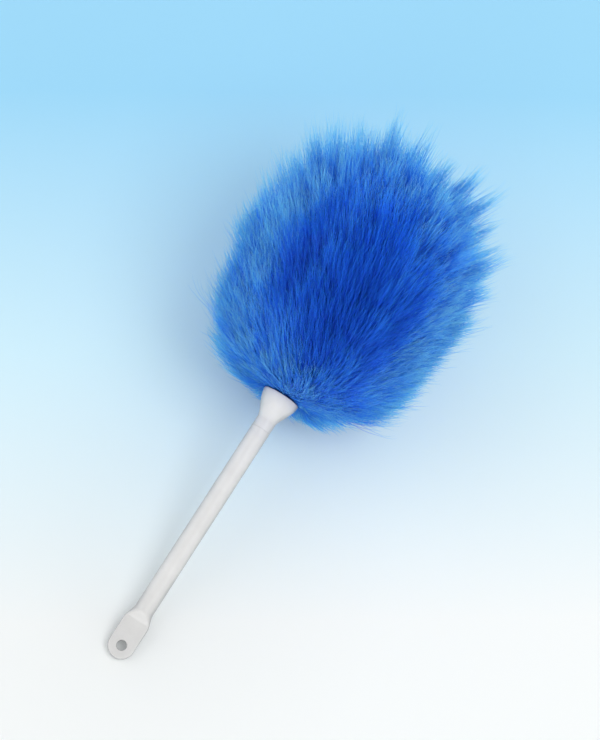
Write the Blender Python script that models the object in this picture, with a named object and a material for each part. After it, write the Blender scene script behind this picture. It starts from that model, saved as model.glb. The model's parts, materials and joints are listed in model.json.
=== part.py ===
"""Mini duster: a ball of dyed lambswool on a slim white plastic handle.

The duster lies on a table. Its wool rests on a patch that its own weight presses flat, and the
end of its hang tab touches the table. Lengths are in metres, and +Z is up.

Every piece is drawn along the duster's own axis, which is its local X. Station zero is the rim
of the collar, and stations grow towards the tip of the wool. An empty lays the duster down.
"""

import math

import bmesh
import bpy
import numpy as np
from mathutils import Matrix, Vector

# Fits and cuts
FIT_GAP = 0.0003
CUT_OVERRUN = 0.001
WELD_DISTANCE = 0.000001

# Handle: a round shaft, turned down at its top end to carry the collar and the core rod
SHAFT_DIAMETER = 0.012
HANDLE_REACH = 0.183
SEAT_LENGTH = 0.0145
SOCKET_WALL = 0.0009
SOCKET_DEPTH = 0.026
EDGE_BREAK = 0.0004

# Hang tab: the flat end of the handle, with a round end and a round hole
TAB_WIDTH = 0.0165
TAB_THICKNESS = 0.0045
TAB_STRAIGHT = 0.0145
TAB_EDGE_RADIUS = 0.0009
SHOULDER_LENGTH = 0.011
NOSE_LENGTH = 0.0065
HANG_HOLE_DIAMETER = 0.006
HANG_HOLE_CHAMFER = 0.0004

# Collar: a sleeve flush with the shaft that flares into a cup round the root of the wool
COLLAR_WALL = 0.0008
NECK_LENGTH = 0.006
FLARE_LENGTH = 0.017
FLARE_OUT = 0.0056
FLARE_POWER = 1.6

# Hide: the skin that the wool grows from, wound up the rod and laid over its end
HIDE_THICKNESS = 0.0016
STRIP_WIDTH = 0.013
STRIP_TURN_GAP = 0.001

# Staples and tack that hold the hide to the rod
STAPLE_WIRE = 0.0007
STAPLE_BRIDGE = 0.005
STAPLE_LEG = 0.0042
STAPLE_MARGIN = 0.0012
TACK_HEAD_DIAMETER = 0.006
TACK_HEAD_HEIGHT = 0.0014
TACK_SHANK_DIAMETER = 0.0012
TACK_LENGTH = 0.009

# Wool: a squarish ball of tufts that lean towards the tip
WOOL_DIAMETER = 0.14
WOOL_LENGTH = 0.165
WOOL_OVERHANG = 0.005
WOOL_POWER = 2.35
CROWN_PILE = 0.051
PRESS_DEPTH = 0.006
TUFT_HEIGHT = 0.008
TUFT_VARIETY = 0.0016
TUFT_COUNT = 84
TUFT_SEED = 5

# Shares and counts that shape the wool and the handle
WOOL_FULL_SIDE_SHARE = 0.05
TUFT_ALONG_SHARE = 0.5
TUFT_LEAN_SHARE = 1.1
TUFT_SHINGLE_SHARE = 0.5
TUFT_JITTER_SHARE = 0.2
TAB_ROOT_SHARE = 0.93
NOSE_SINK_SHARE = 0.8
STAPLE_TURN_SHARE = 0.06
ROUND_SEGMENTS = 48
SMALL_SEGMENTS = 16
ARC_SEGMENTS = 20
NOSE_STEPS = 8
SHOULDER_STEPS = 10
FLARE_STEPS = 11
LIP_STEPS = 4
STRIP_STEPS_PER_TURN = 24
TAB_BEVEL_SEGMENTS = 3
WOOL_SUBDIVISIONS = 5
LIE_SAMPLES = 400
SHARP_ANGLE = math.radians(35)
SOFT_ANGLE = math.pi

# Radii, from the shaft outwards and inwards
SHAFT_RADIUS = SHAFT_DIAMETER / 2
SEAT_RADIUS = SHAFT_RADIUS - COLLAR_WALL - FIT_GAP
SOCKET_RADIUS = SEAT_RADIUS - SOCKET_WALL
ROD_RADIUS = SOCKET_RADIUS - FIT_GAP
NECK_BORE_RADIUS = SEAT_RADIUS + FIT_GAP
NECK_RADIUS = NECK_BORE_RADIUS + COLLAR_WALL
RIM_RADIUS = NECK_RADIUS + FLARE_OUT
HIDE_INNER_RADIUS = ROD_RADIUS + FIT_GAP
HIDE_OUTER_RADIUS = HIDE_INNER_RADIUS + HIDE_THICKNESS
SHANK_RADIUS = TACK_SHANK_DIAMETER / 2
HALF_TAB = TAB_WIDTH / 2
HALF_THICKNESS = TAB_THICKNESS / 2
WOOL_RADIUS = WOOL_DIAMETER / 2

# Stations along the axis, from the hang tab to the crown
TAB_END = -HANDLE_REACH
HOLE_STATION = TAB_END + HALF_TAB
SHOULDER_WIDE = HOLE_STATION + TAB_STRAIGHT
SHOULDER_NARROW = SHOULDER_WIDE + SHOULDER_LENGTH
NOSE_MIDDLE = (SHOULDER_WIDE + SHOULDER_NARROW) / 2
COLLAR_BOTTOM = -NECK_LENGTH - FLARE_LENGTH
SEAT_BOTTOM = COLLAR_BOTTOM - FIT_GAP
HANDLE_TOP = SEAT_BOTTOM + SEAT_LENGTH
SOCKET_BOTTOM = HANDLE_TOP - SOCKET_DEPTH
ROD_BOTTOM = SOCKET_BOTTOM + FIT_GAP
WOOL_TOP = WOOL_LENGTH - WOOL_OVERHANG
WOOL_MIDDLE = WOOL_TOP - WOOL_LENGTH / 2
ROD_TOP = WOOL_TOP - CROWN_PILE
STRIP_BOTTOM = HANDLE_TOP + FIT_GAP
STRIP_TURNS = (ROD_TOP - STRIP_BOTTOM - STRIP_WIDTH) / (STRIP_WIDTH + STRIP_TURN_GAP)
PATCH_BOTTOM = ROD_TOP + FIT_GAP
PATCH_TOP = PATCH_BOTTOM + HIDE_THICKNESS
TACK_SEAT = PATCH_TOP + FIT_GAP
TACK_TOP = TACK_SEAT + TACK_HEAD_HEIGHT
TACK_TIP = TACK_SEAT - TACK_LENGTH


def smooth(share):
    """Ease from 0 to 1, level at both ends."""
    share = min(max(share, 0.0), 1.0)
    return share * share * (3 - 2 * share)


def clear_scene():
    """Remove whatever the file held before."""
    for old in list(bpy.data.objects):
        bpy.data.objects.remove(old, do_unlink=True)


def finish_of(name, colour, roughness, metallic=0.0):
    """A plain surface: linear colour, roughness and metallic value."""
    surface = bpy.data.materials.new(name)
    surface.use_nodes = True
    shader = surface.node_tree.nodes["Principled BSDF"]
    shader.inputs["Base Color"].default_value = (*colour, 1.0)
    shader.inputs["Roughness"].default_value = roughness
    shader.inputs["Metallic"].default_value = metallic
    surface.diffuse_color = (*colour, 1.0)
    return surface


def add_piece(name, shape, parent, surface=None, place=None, sharp=SHARP_ANGLE):
    """Make an object of a bmesh and free the bmesh. A piece with no surface is a cutter."""
    bmesh.ops.recalc_face_normals(shape, faces=shape.faces)
    mesh = bpy.data.meshes.new(name)
    shape.to_mesh(mesh)
    shape.free()
    piece = bpy.data.objects.new(name, mesh)
    bpy.context.scene.collection.objects.link(piece)
    piece.parent = parent
    if place is not None:
        piece.matrix_local = place
    if surface is None:
        piece.hide_render = True
        piece.display_type = "WIRE"
        return piece
    mesh.materials.append(surface)
    mesh.shade_smooth()
    mesh.set_sharp_from_angle(angle=sharp)
    return piece


def combine(piece, tool, operation):
    """Cut a tool out of a piece, or join it on, and leave the modifier live."""
    step = piece.modifiers.new(f"{operation.lower()}_{tool.name}", "BOOLEAN")
    step.operation = operation
    step.object = tool


def turned(profile, segments=ROUND_SEGMENTS, ring=False):
    """Spin (station, radius) points round the axis. A ring's last point meets its first."""
    shape = bmesh.new()
    corners = [shape.verts.new((station, 0, radius)) for station, radius in profile]
    followers = corners[1:] + corners[:1] if ring else corners[1:]
    edges = [shape.edges.new(pair) for pair in zip(corners, followers)]
    bmesh.ops.spin(
        shape,
        geom=corners + edges,
        cent=(0, 0, 0),
        axis=(1, 0, 0),
        angle=math.tau,
        steps=segments,
        use_merge=True,
    )
    bmesh.ops.remove_doubles(shape, verts=shape.verts, dist=WELD_DISTANCE)
    return shape


def plug(bottom, top, radius, segments=ROUND_SEGMENTS):
    """A plain round bar between two stations."""
    return turned([(bottom, 0), (bottom, radius), (top, radius), (top, 0)], segments)


def shaft_shape():
    """The shaft, whose lower end flattens and widens until it dies into the hang tab."""
    nose_start = NOSE_MIDDLE - NOSE_LENGTH / 2
    stations = [nose_start + NOSE_LENGTH * step / NOSE_STEPS for step in range(NOSE_STEPS + 1)]
    shape = turned(
        [(nose_start, 0)]
        + [(station, SHAFT_RADIUS) for station in stations]
        + [
            (SEAT_BOTTOM - EDGE_BREAK, SHAFT_RADIUS),
            (SEAT_BOTTOM, SHAFT_RADIUS - EDGE_BREAK),
            (SEAT_BOTTOM, SEAT_RADIUS),
            (HANDLE_TOP - EDGE_BREAK, SEAT_RADIUS),
            (HANDLE_TOP, SEAT_RADIUS - EDGE_BREAK),
            (HANDLE_TOP, 0),
        ]
    )
    wide = (HALF_TAB - TAB_EDGE_RADIUS) / SHAFT_RADIUS
    thin = HALF_THICKNESS * NOSE_SINK_SHARE / SHAFT_RADIUS
    for corner in shape.verts:
        flat = smooth(1 - (corner.co.x - nose_start) / NOSE_LENGTH)
        corner.co.y *= 1 + (wide - 1) * flat
        corner.co.z *= 1 + (thin - 1) * flat
    return shape


def tab_shape():
    """The flat hang tab: its outline seen from above, thickened, with rounded edges."""
    root_width = TAB_ROOT_SHARE * math.sqrt(SHAFT_RADIUS**2 - HALF_THICKNESS**2)
    side = [(SHOULDER_NARROW + TAB_THICKNESS, root_width)]
    for step in range(SHOULDER_STEPS + 1):
        share = step / SHOULDER_STEPS
        station = SHOULDER_NARROW - SHOULDER_LENGTH * share
        side.append((station, root_width + (HALF_TAB - root_width) * smooth(share)))
    for step in range(ARC_SEGMENTS):
        turn = math.pi / 2 * step / ARC_SEGMENTS
        side.append((HOLE_STATION - HALF_TAB * math.sin(turn), HALF_TAB * math.cos(turn)))
    outline = side + [(TAB_END, 0)] + [(station, -width) for station, width in reversed(side)]
    shape = bmesh.new()
    corners = [shape.verts.new((station, width, -HALF_THICKNESS)) for station, width in outline]
    bottom = shape.faces.new(corners)
    raised = bmesh.ops.extrude_face_region(shape, geom=[bottom], use_keep_orig=True)["geom"]
    tops = [item for item in raised if isinstance(item, bmesh.types.BMVert)]
    bmesh.ops.translate(shape, verts=tops, vec=(0, 0, TAB_THICKNESS))
    rims = [edge for edge in shape.edges if edge.verts[0].co.z == edge.verts[1].co.z]
    bmesh.ops.recalc_face_normals(shape, faces=shape.faces)
    bmesh.ops.bevel(
        shape,
        geom=rims,
        offset=TAB_EDGE_RADIUS,
        offset_type="OFFSET",
        segments=TAB_BEVEL_SEGMENTS,
        profile=0.5,
        affect="EDGES",
    )
    return shape


def hang_hole_shape():
    """The hang hole's cutter, wider at both faces of the tab by the chamfer."""
    radius = HANG_HOLE_DIAMETER / 2
    mouth = HALF_THICKNESS + CUT_OVERRUN
    mouth_radius = radius + HANG_HOLE_CHAMFER + CUT_OVERRUN
    waist = HALF_THICKNESS - HANG_HOLE_CHAMFER
    return turned(
        [
            (-mouth, 0),
            (-mouth, mouth_radius),
            (-waist, radius),
            (waist, radius),
            (mouth, mouth_radius),
            (mouth, 0),
        ]
    )


def build_handle(parent, plastic):
    """Shaft and hang tab in one moulding, with the socket for the rod and the hang hole."""
    handle = add_piece("handle", shaft_shape(), parent, plastic)
    combine(handle, add_piece("tab_blank", tab_shape(), parent), "UNION")
    socket = plug(SOCKET_BOTTOM, HANDLE_TOP + CUT_OVERRUN, SOCKET_RADIUS)
    combine(handle, add_piece("socket_cutter", socket, parent), "DIFFERENCE")
    upright = Matrix.Translation((HOLE_STATION, 0, 0)) @ Matrix.Rotation(math.pi / 2, 4, "Y")
    hole = add_piece("hang_hole_cutter", hang_hole_shape(), parent, place=upright)
    combine(handle, hole, "DIFFERENCE")
    return handle


def collar_radius(station):
    """The collar's outer radius: a straight neck, then a bell that ends level at the rim."""
    share = min(max(1 + station / FLARE_LENGTH, 0.0), 1.0)
    return NECK_RADIUS + FLARE_OUT * math.sin(math.pi / 2 * share) ** FLARE_POWER


def build_collar(parent, plastic):
    """The ferrule: one wall thickness all the way, and a round lip at its rim."""
    lip = COLLAR_WALL / 2
    bell = [-FLARE_LENGTH + (FLARE_LENGTH - lip) * n / FLARE_STEPS for n in range(FLARE_STEPS + 1)]
    outside = [(station, collar_radius(station)) for station in bell]
    turns = [math.pi * step / LIP_STEPS for step in range(1, LIP_STEPS)]
    rim = [
        (-lip + lip * math.sin(turn), outside[-1][1] - lip + lip * math.cos(turn))
        for turn in turns
    ]
    inside = [(station, radius - COLLAR_WALL) for station, radius in reversed(outside)]
    foot = [
        (COLLAR_BOTTOM, NECK_BORE_RADIUS),
        (COLLAR_BOTTOM, NECK_RADIUS - EDGE_BREAK),
        (COLLAR_BOTTOM + EDGE_BREAK, NECK_RADIUS),
    ]
    return add_piece("collar", turned(foot + outside + rim + inside, ring=True), parent, plastic)


def build_core_rod(parent, timber):
    """The dowel that stands in the handle's socket, with its edges broken and a tack hole."""
    shape = turned(
        [
            (ROD_BOTTOM, 0),
            (ROD_BOTTOM, ROD_RADIUS - EDGE_BREAK),
            (ROD_BOTTOM + EDGE_BREAK, ROD_RADIUS),
            (ROD_TOP - EDGE_BREAK, ROD_RADIUS),
            (ROD_TOP, ROD_RADIUS - EDGE_BREAK),
            (ROD_TOP, 0),
        ],
        STRIP_STEPS_PER_TURN,
    )
    rod = add_piece("core_rod", shape, parent, timber)
    hole = plug(
        TACK_TIP - FIT_GAP, ROD_TOP + CUT_OVERRUN, SHANK_RADIUS + FIT_GAP, SMALL_SEGMENTS
    )
    combine(rod, add_piece("tack_hole_cutter", hole, parent), "DIFFERENCE")
    return rod


def strip_edge(turn):
    """Station of the strip's lower edge after some turns round the rod."""
    return STRIP_BOTTOM + (STRIP_WIDTH + STRIP_TURN_GAP) * turn


def build_hide_strip(parent, hide):
    """The strip's section, carried round the rod in one unbroken climbing turn after turn."""
    steps = math.ceil(STRIP_TURNS * STRIP_STEPS_PER_TURN)
    rings = []
    shape = bmesh.new()
    for step in range(steps + 1):
        turn = STRIP_TURNS * step / steps
        low = strip_edge(turn)
        spin = Matrix.Rotation(math.tau * turn, 4, "X")
        section = [
            (low, HIDE_INNER_RADIUS),
            (low + STRIP_WIDTH, HIDE_INNER_RADIUS),
            (low + STRIP_WIDTH, HIDE_OUTER_RADIUS),
            (low, HIDE_OUTER_RADIUS),
        ]
        rings.append([shape.verts.new(spin @ Vector((x, 0, radius))) for x, radius in section])
    for ring, following in zip(rings, rings[1:]):
        for corner in range(len(ring)):
            other = (corner + 1) % len(ring)
            shape.faces.new((ring[corner], ring[other], following[other], following[corner]))
    shape.faces.new(rings[0])
    shape.faces.new(rings[-1])
    gap = min(
        (above[0].co - below[1].co).length
        for below, above in zip(rings, rings[STRIP_STEPS_PER_TURN:])
    )
    print(f"hide strip: {STRIP_TURNS:.1f} turns, least gap between turns {gap * 1000:.2f} mm")
    return add_piece("hide_strip", shape, parent, hide)


def build_crown_patch(parent, hide):
    """The round of hide over the rod's end, with a hole for the tack."""
    hole = SHANK_RADIUS + FIT_GAP
    shape = turned(
        [
            (PATCH_BOTTOM, hole),
            (PATCH_BOTTOM, HIDE_OUTER_RADIUS),
            (PATCH_TOP - EDGE_BREAK, HIDE_OUTER_RADIUS),
            (PATCH_TOP, HIDE_OUTER_RADIUS - EDGE_BREAK),
            (PATCH_TOP, hole),
        ],
        STRIP_STEPS_PER_TURN,
        ring=True,
    )
    return add_piece("crown_patch", shape, parent, hide)


def build_crown_tack(parent, steel):
    """A domed tack with a pointed shank."""
    dome = [math.pi / 2 * step / LIP_STEPS for step in range(LIP_STEPS + 1)]
    head = TACK_HEAD_DIAMETER / 2
    profile = [
        (TACK_TIP, 0),
        (TACK_TIP + TACK_SHANK_DIAMETER, SHANK_RADIUS),
        (TACK_SEAT, SHANK_RADIUS),
    ]
    for turn in dome:
        profile.append((TACK_SEAT + TACK_HEAD_HEIGHT * math.sin(turn), head * math.cos(turn)))
    profile[-1] = (TACK_TOP, 0)
    return add_piece("crown_tack", turned(profile, SMALL_SEGMENTS), parent, steel)


def box_shape(low, high):
    """A box between two opposite corners."""
    low, high = Vector(low), Vector(high)
    shape = bmesh.new()
    bmesh.ops.create_cube(shape, size=1)
    bmesh.ops.scale(shape, verts=shape.verts, vec=high - low)
    bmesh.ops.translate(shape, verts=shape.verts, vec=(low + high) / 2)
    return shape


def staple_shape():
    """A square-wire staple: its legs point down, and its bridge's underside is at height zero."""
    half = STAPLE_BRIDGE / 2
    inner = half - STAPLE_WIRE
    outline = [
        (-half, STAPLE_WIRE),
        (-half, -STAPLE_LEG),
        (-inner, -STAPLE_LEG),
        (-inner, 0),
        (inner, 0),
        (inner, -STAPLE_LEG),
        (half, -STAPLE_LEG),
        (half, STAPLE_WIRE),
    ]
    shape = bmesh.new()
    face = shape.faces.new([shape.verts.new((x, -STAPLE_WIRE / 2, z)) for x, z in outline])
    far = bmesh.ops.extrude_face_region(shape, geom=[face], use_keep_orig=True)["geom"]
    far = [item for item in far if isinstance(item, bmesh.types.BMVert)]
    bmesh.ops.translate(shape, verts=far, vec=(0, STAPLE_WIRE, 0))
    return shape


def build_staple(name, turn, station, parent, steel, strip, rod, wool):
    """One staple at a turn of the strip, with its leg holes and its pocket under the wool."""
    seat = HIDE_OUTER_RADIUS + FIT_GAP
    place = Matrix.Rotation(math.tau * turn, 4, "X") @ Matrix.Translation((station, 0, seat))
    staple = add_piece(name, staple_shape(), parent, steel, place)
    half = STAPLE_WIRE / 2 + FIT_GAP
    middle = STAPLE_BRIDGE / 2 - STAPLE_WIRE / 2
    for side in (-1, 1):
        leg = box_shape(
            (side * middle - half, -half, -STAPLE_LEG - FIT_GAP),
            (side * middle + half, half, CUT_OVERRUN),
        )
        cutter = add_piece(f"{name}_leg_cutter", leg, parent, place=place)
        combine(strip, cutter, "DIFFERENCE")
        combine(rod, cutter, "DIFFERENCE")
    reach = STAPLE_BRIDGE / 2 + FIT_GAP
    pocket = box_shape((-reach, -half, -CUT_OVERRUN), (reach, half, STAPLE_WIRE + FIT_GAP))
    combine(wool, add_piece(f"{name}_pocket_cutter", pocket, parent, place=place), "DIFFERENCE")
    return staple


def wool_outline(station):
    """Mean radius of the wool at a station, from its squarish round outline."""
    along = min(abs(station - WOOL_MIDDLE) / (WOOL_LENGTH / 2), 1.0)
    return WOOL_RADIUS * (1 - along**WOOL_POWER) ** (1 / WOOL_POWER)


def tab_corner():
    """Middle of the rounded lower edge at the tab's end, as (station, height)."""
    return TAB_END + TAB_EDGE_RADIUS, TAB_EDGE_RADIUS - HALF_THICKNESS


def lie_angle():
    """Tilt at which a floor under the tab's end presses the wool in by its press depth."""
    station, height = tab_corner()
    steepest = 0.0
    for sample in range(1, LIE_SAMPLES):
        along = WOOL_TOP - WOOL_LENGTH * sample / LIE_SAMPLES
        run = along - station
        drop = wool_outline(along) - PRESS_DEPTH + height
        bend = math.asin(TAB_EDGE_RADIUS / math.hypot(run, drop))
        steepest = max(steepest, math.atan2(drop, run) - bend)
    return steepest


def tuft_directions():
    """Evenly spread directions round the ball, each moved a little at random."""
    rng = np.random.default_rng(TUFT_SEED)
    order = np.arange(TUFT_COUNT) + 0.5
    along = 1 - 2 * order / TUFT_COUNT
    turn = order * math.pi * (3 - math.sqrt(5))
    across = np.sqrt(1 - along**2)
    spread = np.stack([along, across * np.cos(turn), across * np.sin(turn)], axis=1)
    spacing = math.sqrt(4 * math.pi / TUFT_COUNT)
    spread += rng.normal(0, TUFT_JITTER_SHARE * spacing, spread.shape)
    spread /= np.linalg.norm(spread, axis=1, keepdims=True)
    return spread, rng.normal(0, 1, TUFT_COUNT)


def tuft_relief(directions, tipward):
    """Height of the tufts over the ball: crests at each tuft, creases where two tufts meet."""
    centres, variety = tuft_directions()
    offsets = directions[:, None, :] - centres[None, :, :]
    along = np.einsum("vtx,vx->vt", offsets, tipward)
    across = (offsets**2).sum(axis=2) - along**2
    reach = np.sqrt((TUFT_ALONG_SHARE * along) ** 2 + across)
    order = np.argsort(reach, axis=1)
    rows = np.arange(len(directions))
    nearest, second = reach[rows, order[:, 0]], reach[rows, order[:, 1]]
    crest = np.sin(math.pi / 2 * (second - nearest) / (second + nearest))
    spacing = math.sqrt(4 * math.pi / TUFT_COUNT)
    shingle = 1 + TUFT_SHINGLE_SHARE * along[rows, order[:, 0]] / spacing
    return crest * shingle * (TUFT_HEIGHT + TUFT_VARIETY * variety[order[:, 0]])


def wool_shape(floor_point, floor_normal):
    """The ball of wool: its outline, its fuller side, its tufts and its pressed underside."""
    shape = bmesh.new()
    bmesh.ops.create_icosphere(shape, subdivisions=WOOL_SUBDIVISIONS, radius=1)
    directions = np.array([corner.co for corner in shape.verts])
    along, across = directions[:, 0], np.hypot(directions[:, 1], directions[:, 2])
    reach = (
        (np.abs(along) / (WOOL_LENGTH / 2)) ** WOOL_POWER + (across / WOOL_RADIUS) ** WOOL_POWER
    ) ** (-1 / WOOL_POWER)
    reach *= 1 + WOOL_FULL_SIDE_SHARE * directions[:, 1]
    tipward = np.array([1.0, 0.0, 0.0]) - along[:, None] * directions
    tipward /= np.maximum(np.linalg.norm(tipward, axis=1, keepdims=True), WELD_DISTANCE)
    relief = tuft_relief(directions, tipward)
    relief -= relief.mean()
    lean = TUFT_LEAN_SHARE * np.maximum(relief, 0) * across
    places = directions * (reach + relief)[:, None] + tipward * lean[:, None]
    for corner, place in zip(shape.verts, places):
        corner.co = Vector(place) + Vector((WOOL_MIDDLE, 0, 0))
    bmesh.ops.bisect_plane(
        shape,
        geom=shape.verts[:] + shape.edges[:] + shape.faces[:],
        plane_co=floor_point,
        plane_no=floor_normal,
        clear_inner=True,
    )
    bmesh.ops.holes_fill(shape, edges=[edge for edge in shape.edges if edge.is_boundary])
    return shape


def wool_core_shape():
    """The room inside the wool for the collar's rim, the hide and the tack's head."""
    recess = RIM_RADIUS + FIT_GAP
    bore = HIDE_OUTER_RADIUS + FIT_GAP
    below = -WOOL_OVERHANG - TUFT_HEIGHT - CUT_OVERRUN
    return turned(
        [
            (below, 0),
            (below, recess),
            (FIT_GAP, recess),
            (FIT_GAP, bore),
            (TACK_TOP + FIT_GAP, bore),
            (TACK_TOP + FIT_GAP, 0),
        ],
        STRIP_STEPS_PER_TURN,
    )


def build_wool_pile(parent, wool, floor_point, floor_normal):
    """The wool, with the room for the core taken out of it."""
    ball = wool_shape(floor_point, floor_normal)
    pile = add_piece("wool_pile", ball, parent, wool, sharp=SOFT_ANGLE)
    combine(pile, add_piece("wool_core_cutter", wool_core_shape(), parent), "DIFFERENCE")
    return pile


def centre_on_origin(duster, pieces):
    """Slide the duster along the table until its box is centred on the origin."""
    bpy.context.view_layer.update()
    graph = bpy.context.evaluated_depsgraph_get()
    corners = []
    for piece in pieces:
        solid = piece.evaluated_get(graph)
        corners += [solid.matrix_world @ corner.co for corner in solid.data.vertices]
    for axis in (0, 1):
        places = [corner[axis] for corner in corners]
        duster.location[axis] -= (min(places) + max(places)) / 2


def build_duster():
    """All the pieces, under one empty that lays the duster on the table."""
    plastic = finish_of("white_moulded_plastic", (0.80, 0.80, 0.79), 0.38)
    timber = finish_of("pale_dowel_wood", (0.56, 0.38, 0.20), 0.7)
    hide = finish_of("tanned_sheepskin", (0.42, 0.30, 0.20), 0.8)
    steel = finish_of("bright_steel_wire", (0.62, 0.62, 0.64), 0.3, 1.0)
    wool = finish_of("blue_dyed_lambswool", (0.017, 0.135, 0.66), 0.9)

    tilt = lie_angle()
    station, height = tab_corner()
    duster = bpy.data.objects.new("duster_lying_on_a_table", None)
    bpy.context.scene.collection.objects.link(duster)
    duster.rotation_euler = (0, -tilt, 0)
    rise = TAB_EDGE_RADIUS - station * math.sin(tilt) - height * math.cos(tilt)
    duster.location = (0, 0, rise)
    floor_normal = Vector((math.sin(tilt), 0, math.cos(tilt)))
    floor_point = -rise * floor_normal

    handle = build_handle(duster, plastic)
    collar = build_collar(duster, plastic)
    rod = build_core_rod(duster, timber)
    strip = build_hide_strip(duster, hide)
    patch = build_crown_patch(duster, hide)
    tack = build_crown_tack(duster, steel)
    pile = build_wool_pile(duster, wool, floor_point, floor_normal)

    inset = STAPLE_BRIDGE / 2 + STAPLE_MARGIN
    low_turn, high_turn = STAPLE_TURN_SHARE, STRIP_TURNS - STAPLE_TURN_SHARE
    low_station = strip_edge(low_turn) + inset
    high_station = strip_edge(high_turn) + STRIP_WIDTH - inset
    fixing = (duster, steel, strip, rod, pile)
    low_staple = build_staple("lower_staple", low_turn, low_station, *fixing)
    high_staple = build_staple("upper_staple", high_turn, high_station, *fixing)

    pieces = [handle, collar, rod, strip, patch, tack, pile, low_staple, high_staple]
    centre_on_origin(duster, pieces)
    print(f"lies at {math.degrees(tilt):.2f} degrees, placed at {tuple(duster.location)}")


clear_scene()
build_duster()
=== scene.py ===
"""Looks of the mini duster: a ball of dyed lambswool on a slim white plastic handle.

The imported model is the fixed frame. The handle, the collar and the wool get finer pieces that
stand for their solids, and the wood, hide and steel inside keep their solids and get a finish.
Every new piece is drawn along the duster's own axis, which is its local X. Station zero is the
rim of the collar, and stations grow towards the tip of the wool. Lengths are in metres.

A Span holds the two ends of a range and the two numbers that they become. A Zone holds where
something starts and the width over which it grows to full.
"""

import json
import logging
import math
from dataclasses import dataclass, field, fields
from enum import Enum
from typing import Any, Sequence

import bmesh
import bpy
import numpy as np
from mathutils import Matrix, Vector
from mathutils.bvhtree import BVHTree


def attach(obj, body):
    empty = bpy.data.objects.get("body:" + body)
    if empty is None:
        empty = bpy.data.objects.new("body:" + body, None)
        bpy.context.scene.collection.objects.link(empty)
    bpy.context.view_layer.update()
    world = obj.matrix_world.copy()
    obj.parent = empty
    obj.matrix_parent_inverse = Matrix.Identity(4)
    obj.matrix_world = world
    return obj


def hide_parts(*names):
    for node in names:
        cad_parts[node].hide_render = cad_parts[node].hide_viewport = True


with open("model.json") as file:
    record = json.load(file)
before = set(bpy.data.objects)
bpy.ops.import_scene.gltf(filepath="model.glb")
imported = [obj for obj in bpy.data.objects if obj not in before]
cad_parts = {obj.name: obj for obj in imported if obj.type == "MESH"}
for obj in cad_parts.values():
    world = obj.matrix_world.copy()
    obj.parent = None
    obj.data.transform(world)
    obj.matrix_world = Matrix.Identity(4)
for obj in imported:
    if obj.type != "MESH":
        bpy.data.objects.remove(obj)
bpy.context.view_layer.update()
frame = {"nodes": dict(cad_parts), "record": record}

LOG = logging.getLogger("duster")
BAKE_MAP = "OFBake"
GOLDEN_ANGLE = math.pi * (3 - math.sqrt(5))
SHARP_ANGLE = math.radians(40)
FACE_LEAD = 80
TINY = 1e-6

Triple = tuple[float, float, float]
Colour = Triple
Stops = Sequence[tuple[float, Colour]]
Span = tuple[float, float, float, float]
Range = tuple[float, float]
Zone = tuple[float, float]
Profile = Sequence[tuple[float, float]]
Faces = list[tuple[int, ...]]
Socket = bpy.types.NodeSocket


class Body(Enum):
    """The bodies of the frame that a piece can ride on."""

    DUSTER = "root"


class Slot(Enum):
    """The record's material slots that new pieces use."""

    PLASTIC = "moulded_plastic"
    WOOL = "dyed_wool"


class Node(Enum):
    """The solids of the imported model."""

    HANDLE = "handle"
    COLLAR = "collar"
    CORE_ROD = "core_rod"
    HIDE_STRIP = "hide_strip"
    CROWN_PATCH = "crown_patch"
    CROWN_TACK = "crown_tack"
    LOWER_STAPLE = "lower_staple"
    UPPER_STAPLE = "upper_staple"
    WOOL_PILE = "wool_pile"


class Depth(Enum):
    """How deep in the pile a lock's tip ends."""

    SURFACE = "surface"
    MIDDLE = "middle"
    DEEP = "deep"
    RIM = "rim"
    STRAY = "stray"


def ease(values: np.ndarray, start: float = 0.0, width: float = 1.0) -> np.ndarray:
    """Rise from 0 at a start to 1 over a width, level at both ends."""
    share = np.clip((values - start) / width, 0.0, 1.0)
    return share * share * (3 - 2 * share)


def unit(vectors: np.ndarray) -> np.ndarray:
    """Scale vectors in the last axis to length one."""
    return vectors / np.linalg.norm(vectors, axis=-1, keepdims=True)


def read_off(profile: Profile, places: np.ndarray) -> np.ndarray:
    """Read a profile's second numbers off at places among its first ones."""
    return np.interp(places, *np.array(profile).T)


def lifted(heights: np.ndarray, layer: np.ndarray | float, soft: float) -> np.ndarray:
    """Find how far points have to rise to lie in a soft layer over the table.

    Args:
        heights: Their heights over the table.
        layer: Height of the layer that the lowest points end in.
        soft: Height under which a point starts to give way.

    Returns:
        Their lifts, which are 0 over the soft height.
    """
    over = soft - layer
    bent = layer + over * np.exp(np.minimum(heights - soft, 0) / over)
    return np.where(heights < soft, bent - heights, 0.0)


def spread_out(
    count: int, ends: Range, jitter: float, rng: np.random.Generator, first_turn: float = 0.0
) -> np.ndarray:
    """Spread directions evenly over a zone of a ball, each moved a little at random.

    Args:
        count: How many directions.
        ends: Cosines of the zone's first and last angle from the first axis.
        jitter: Size of the moves, as a share of the space between directions.
        rng: Source of the random draws.
        first_turn: Turn of the first direction round the first axis.

    Returns:
        The directions, one row each.
    """
    low, high = ends
    order = (np.arange(count) + 0.5) / count
    along = low + (high - low) * order
    turn = np.arange(count) * GOLDEN_ANGLE + first_turn
    across = np.sqrt(1 - along**2)
    even = np.stack([along, across * np.cos(turn), across * np.sin(turn)], axis=1)
    spacing = math.sqrt(2 * math.pi * abs(low - high) / count)
    return unit(even + rng.normal(0, jitter * spacing, even.shape))


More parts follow.
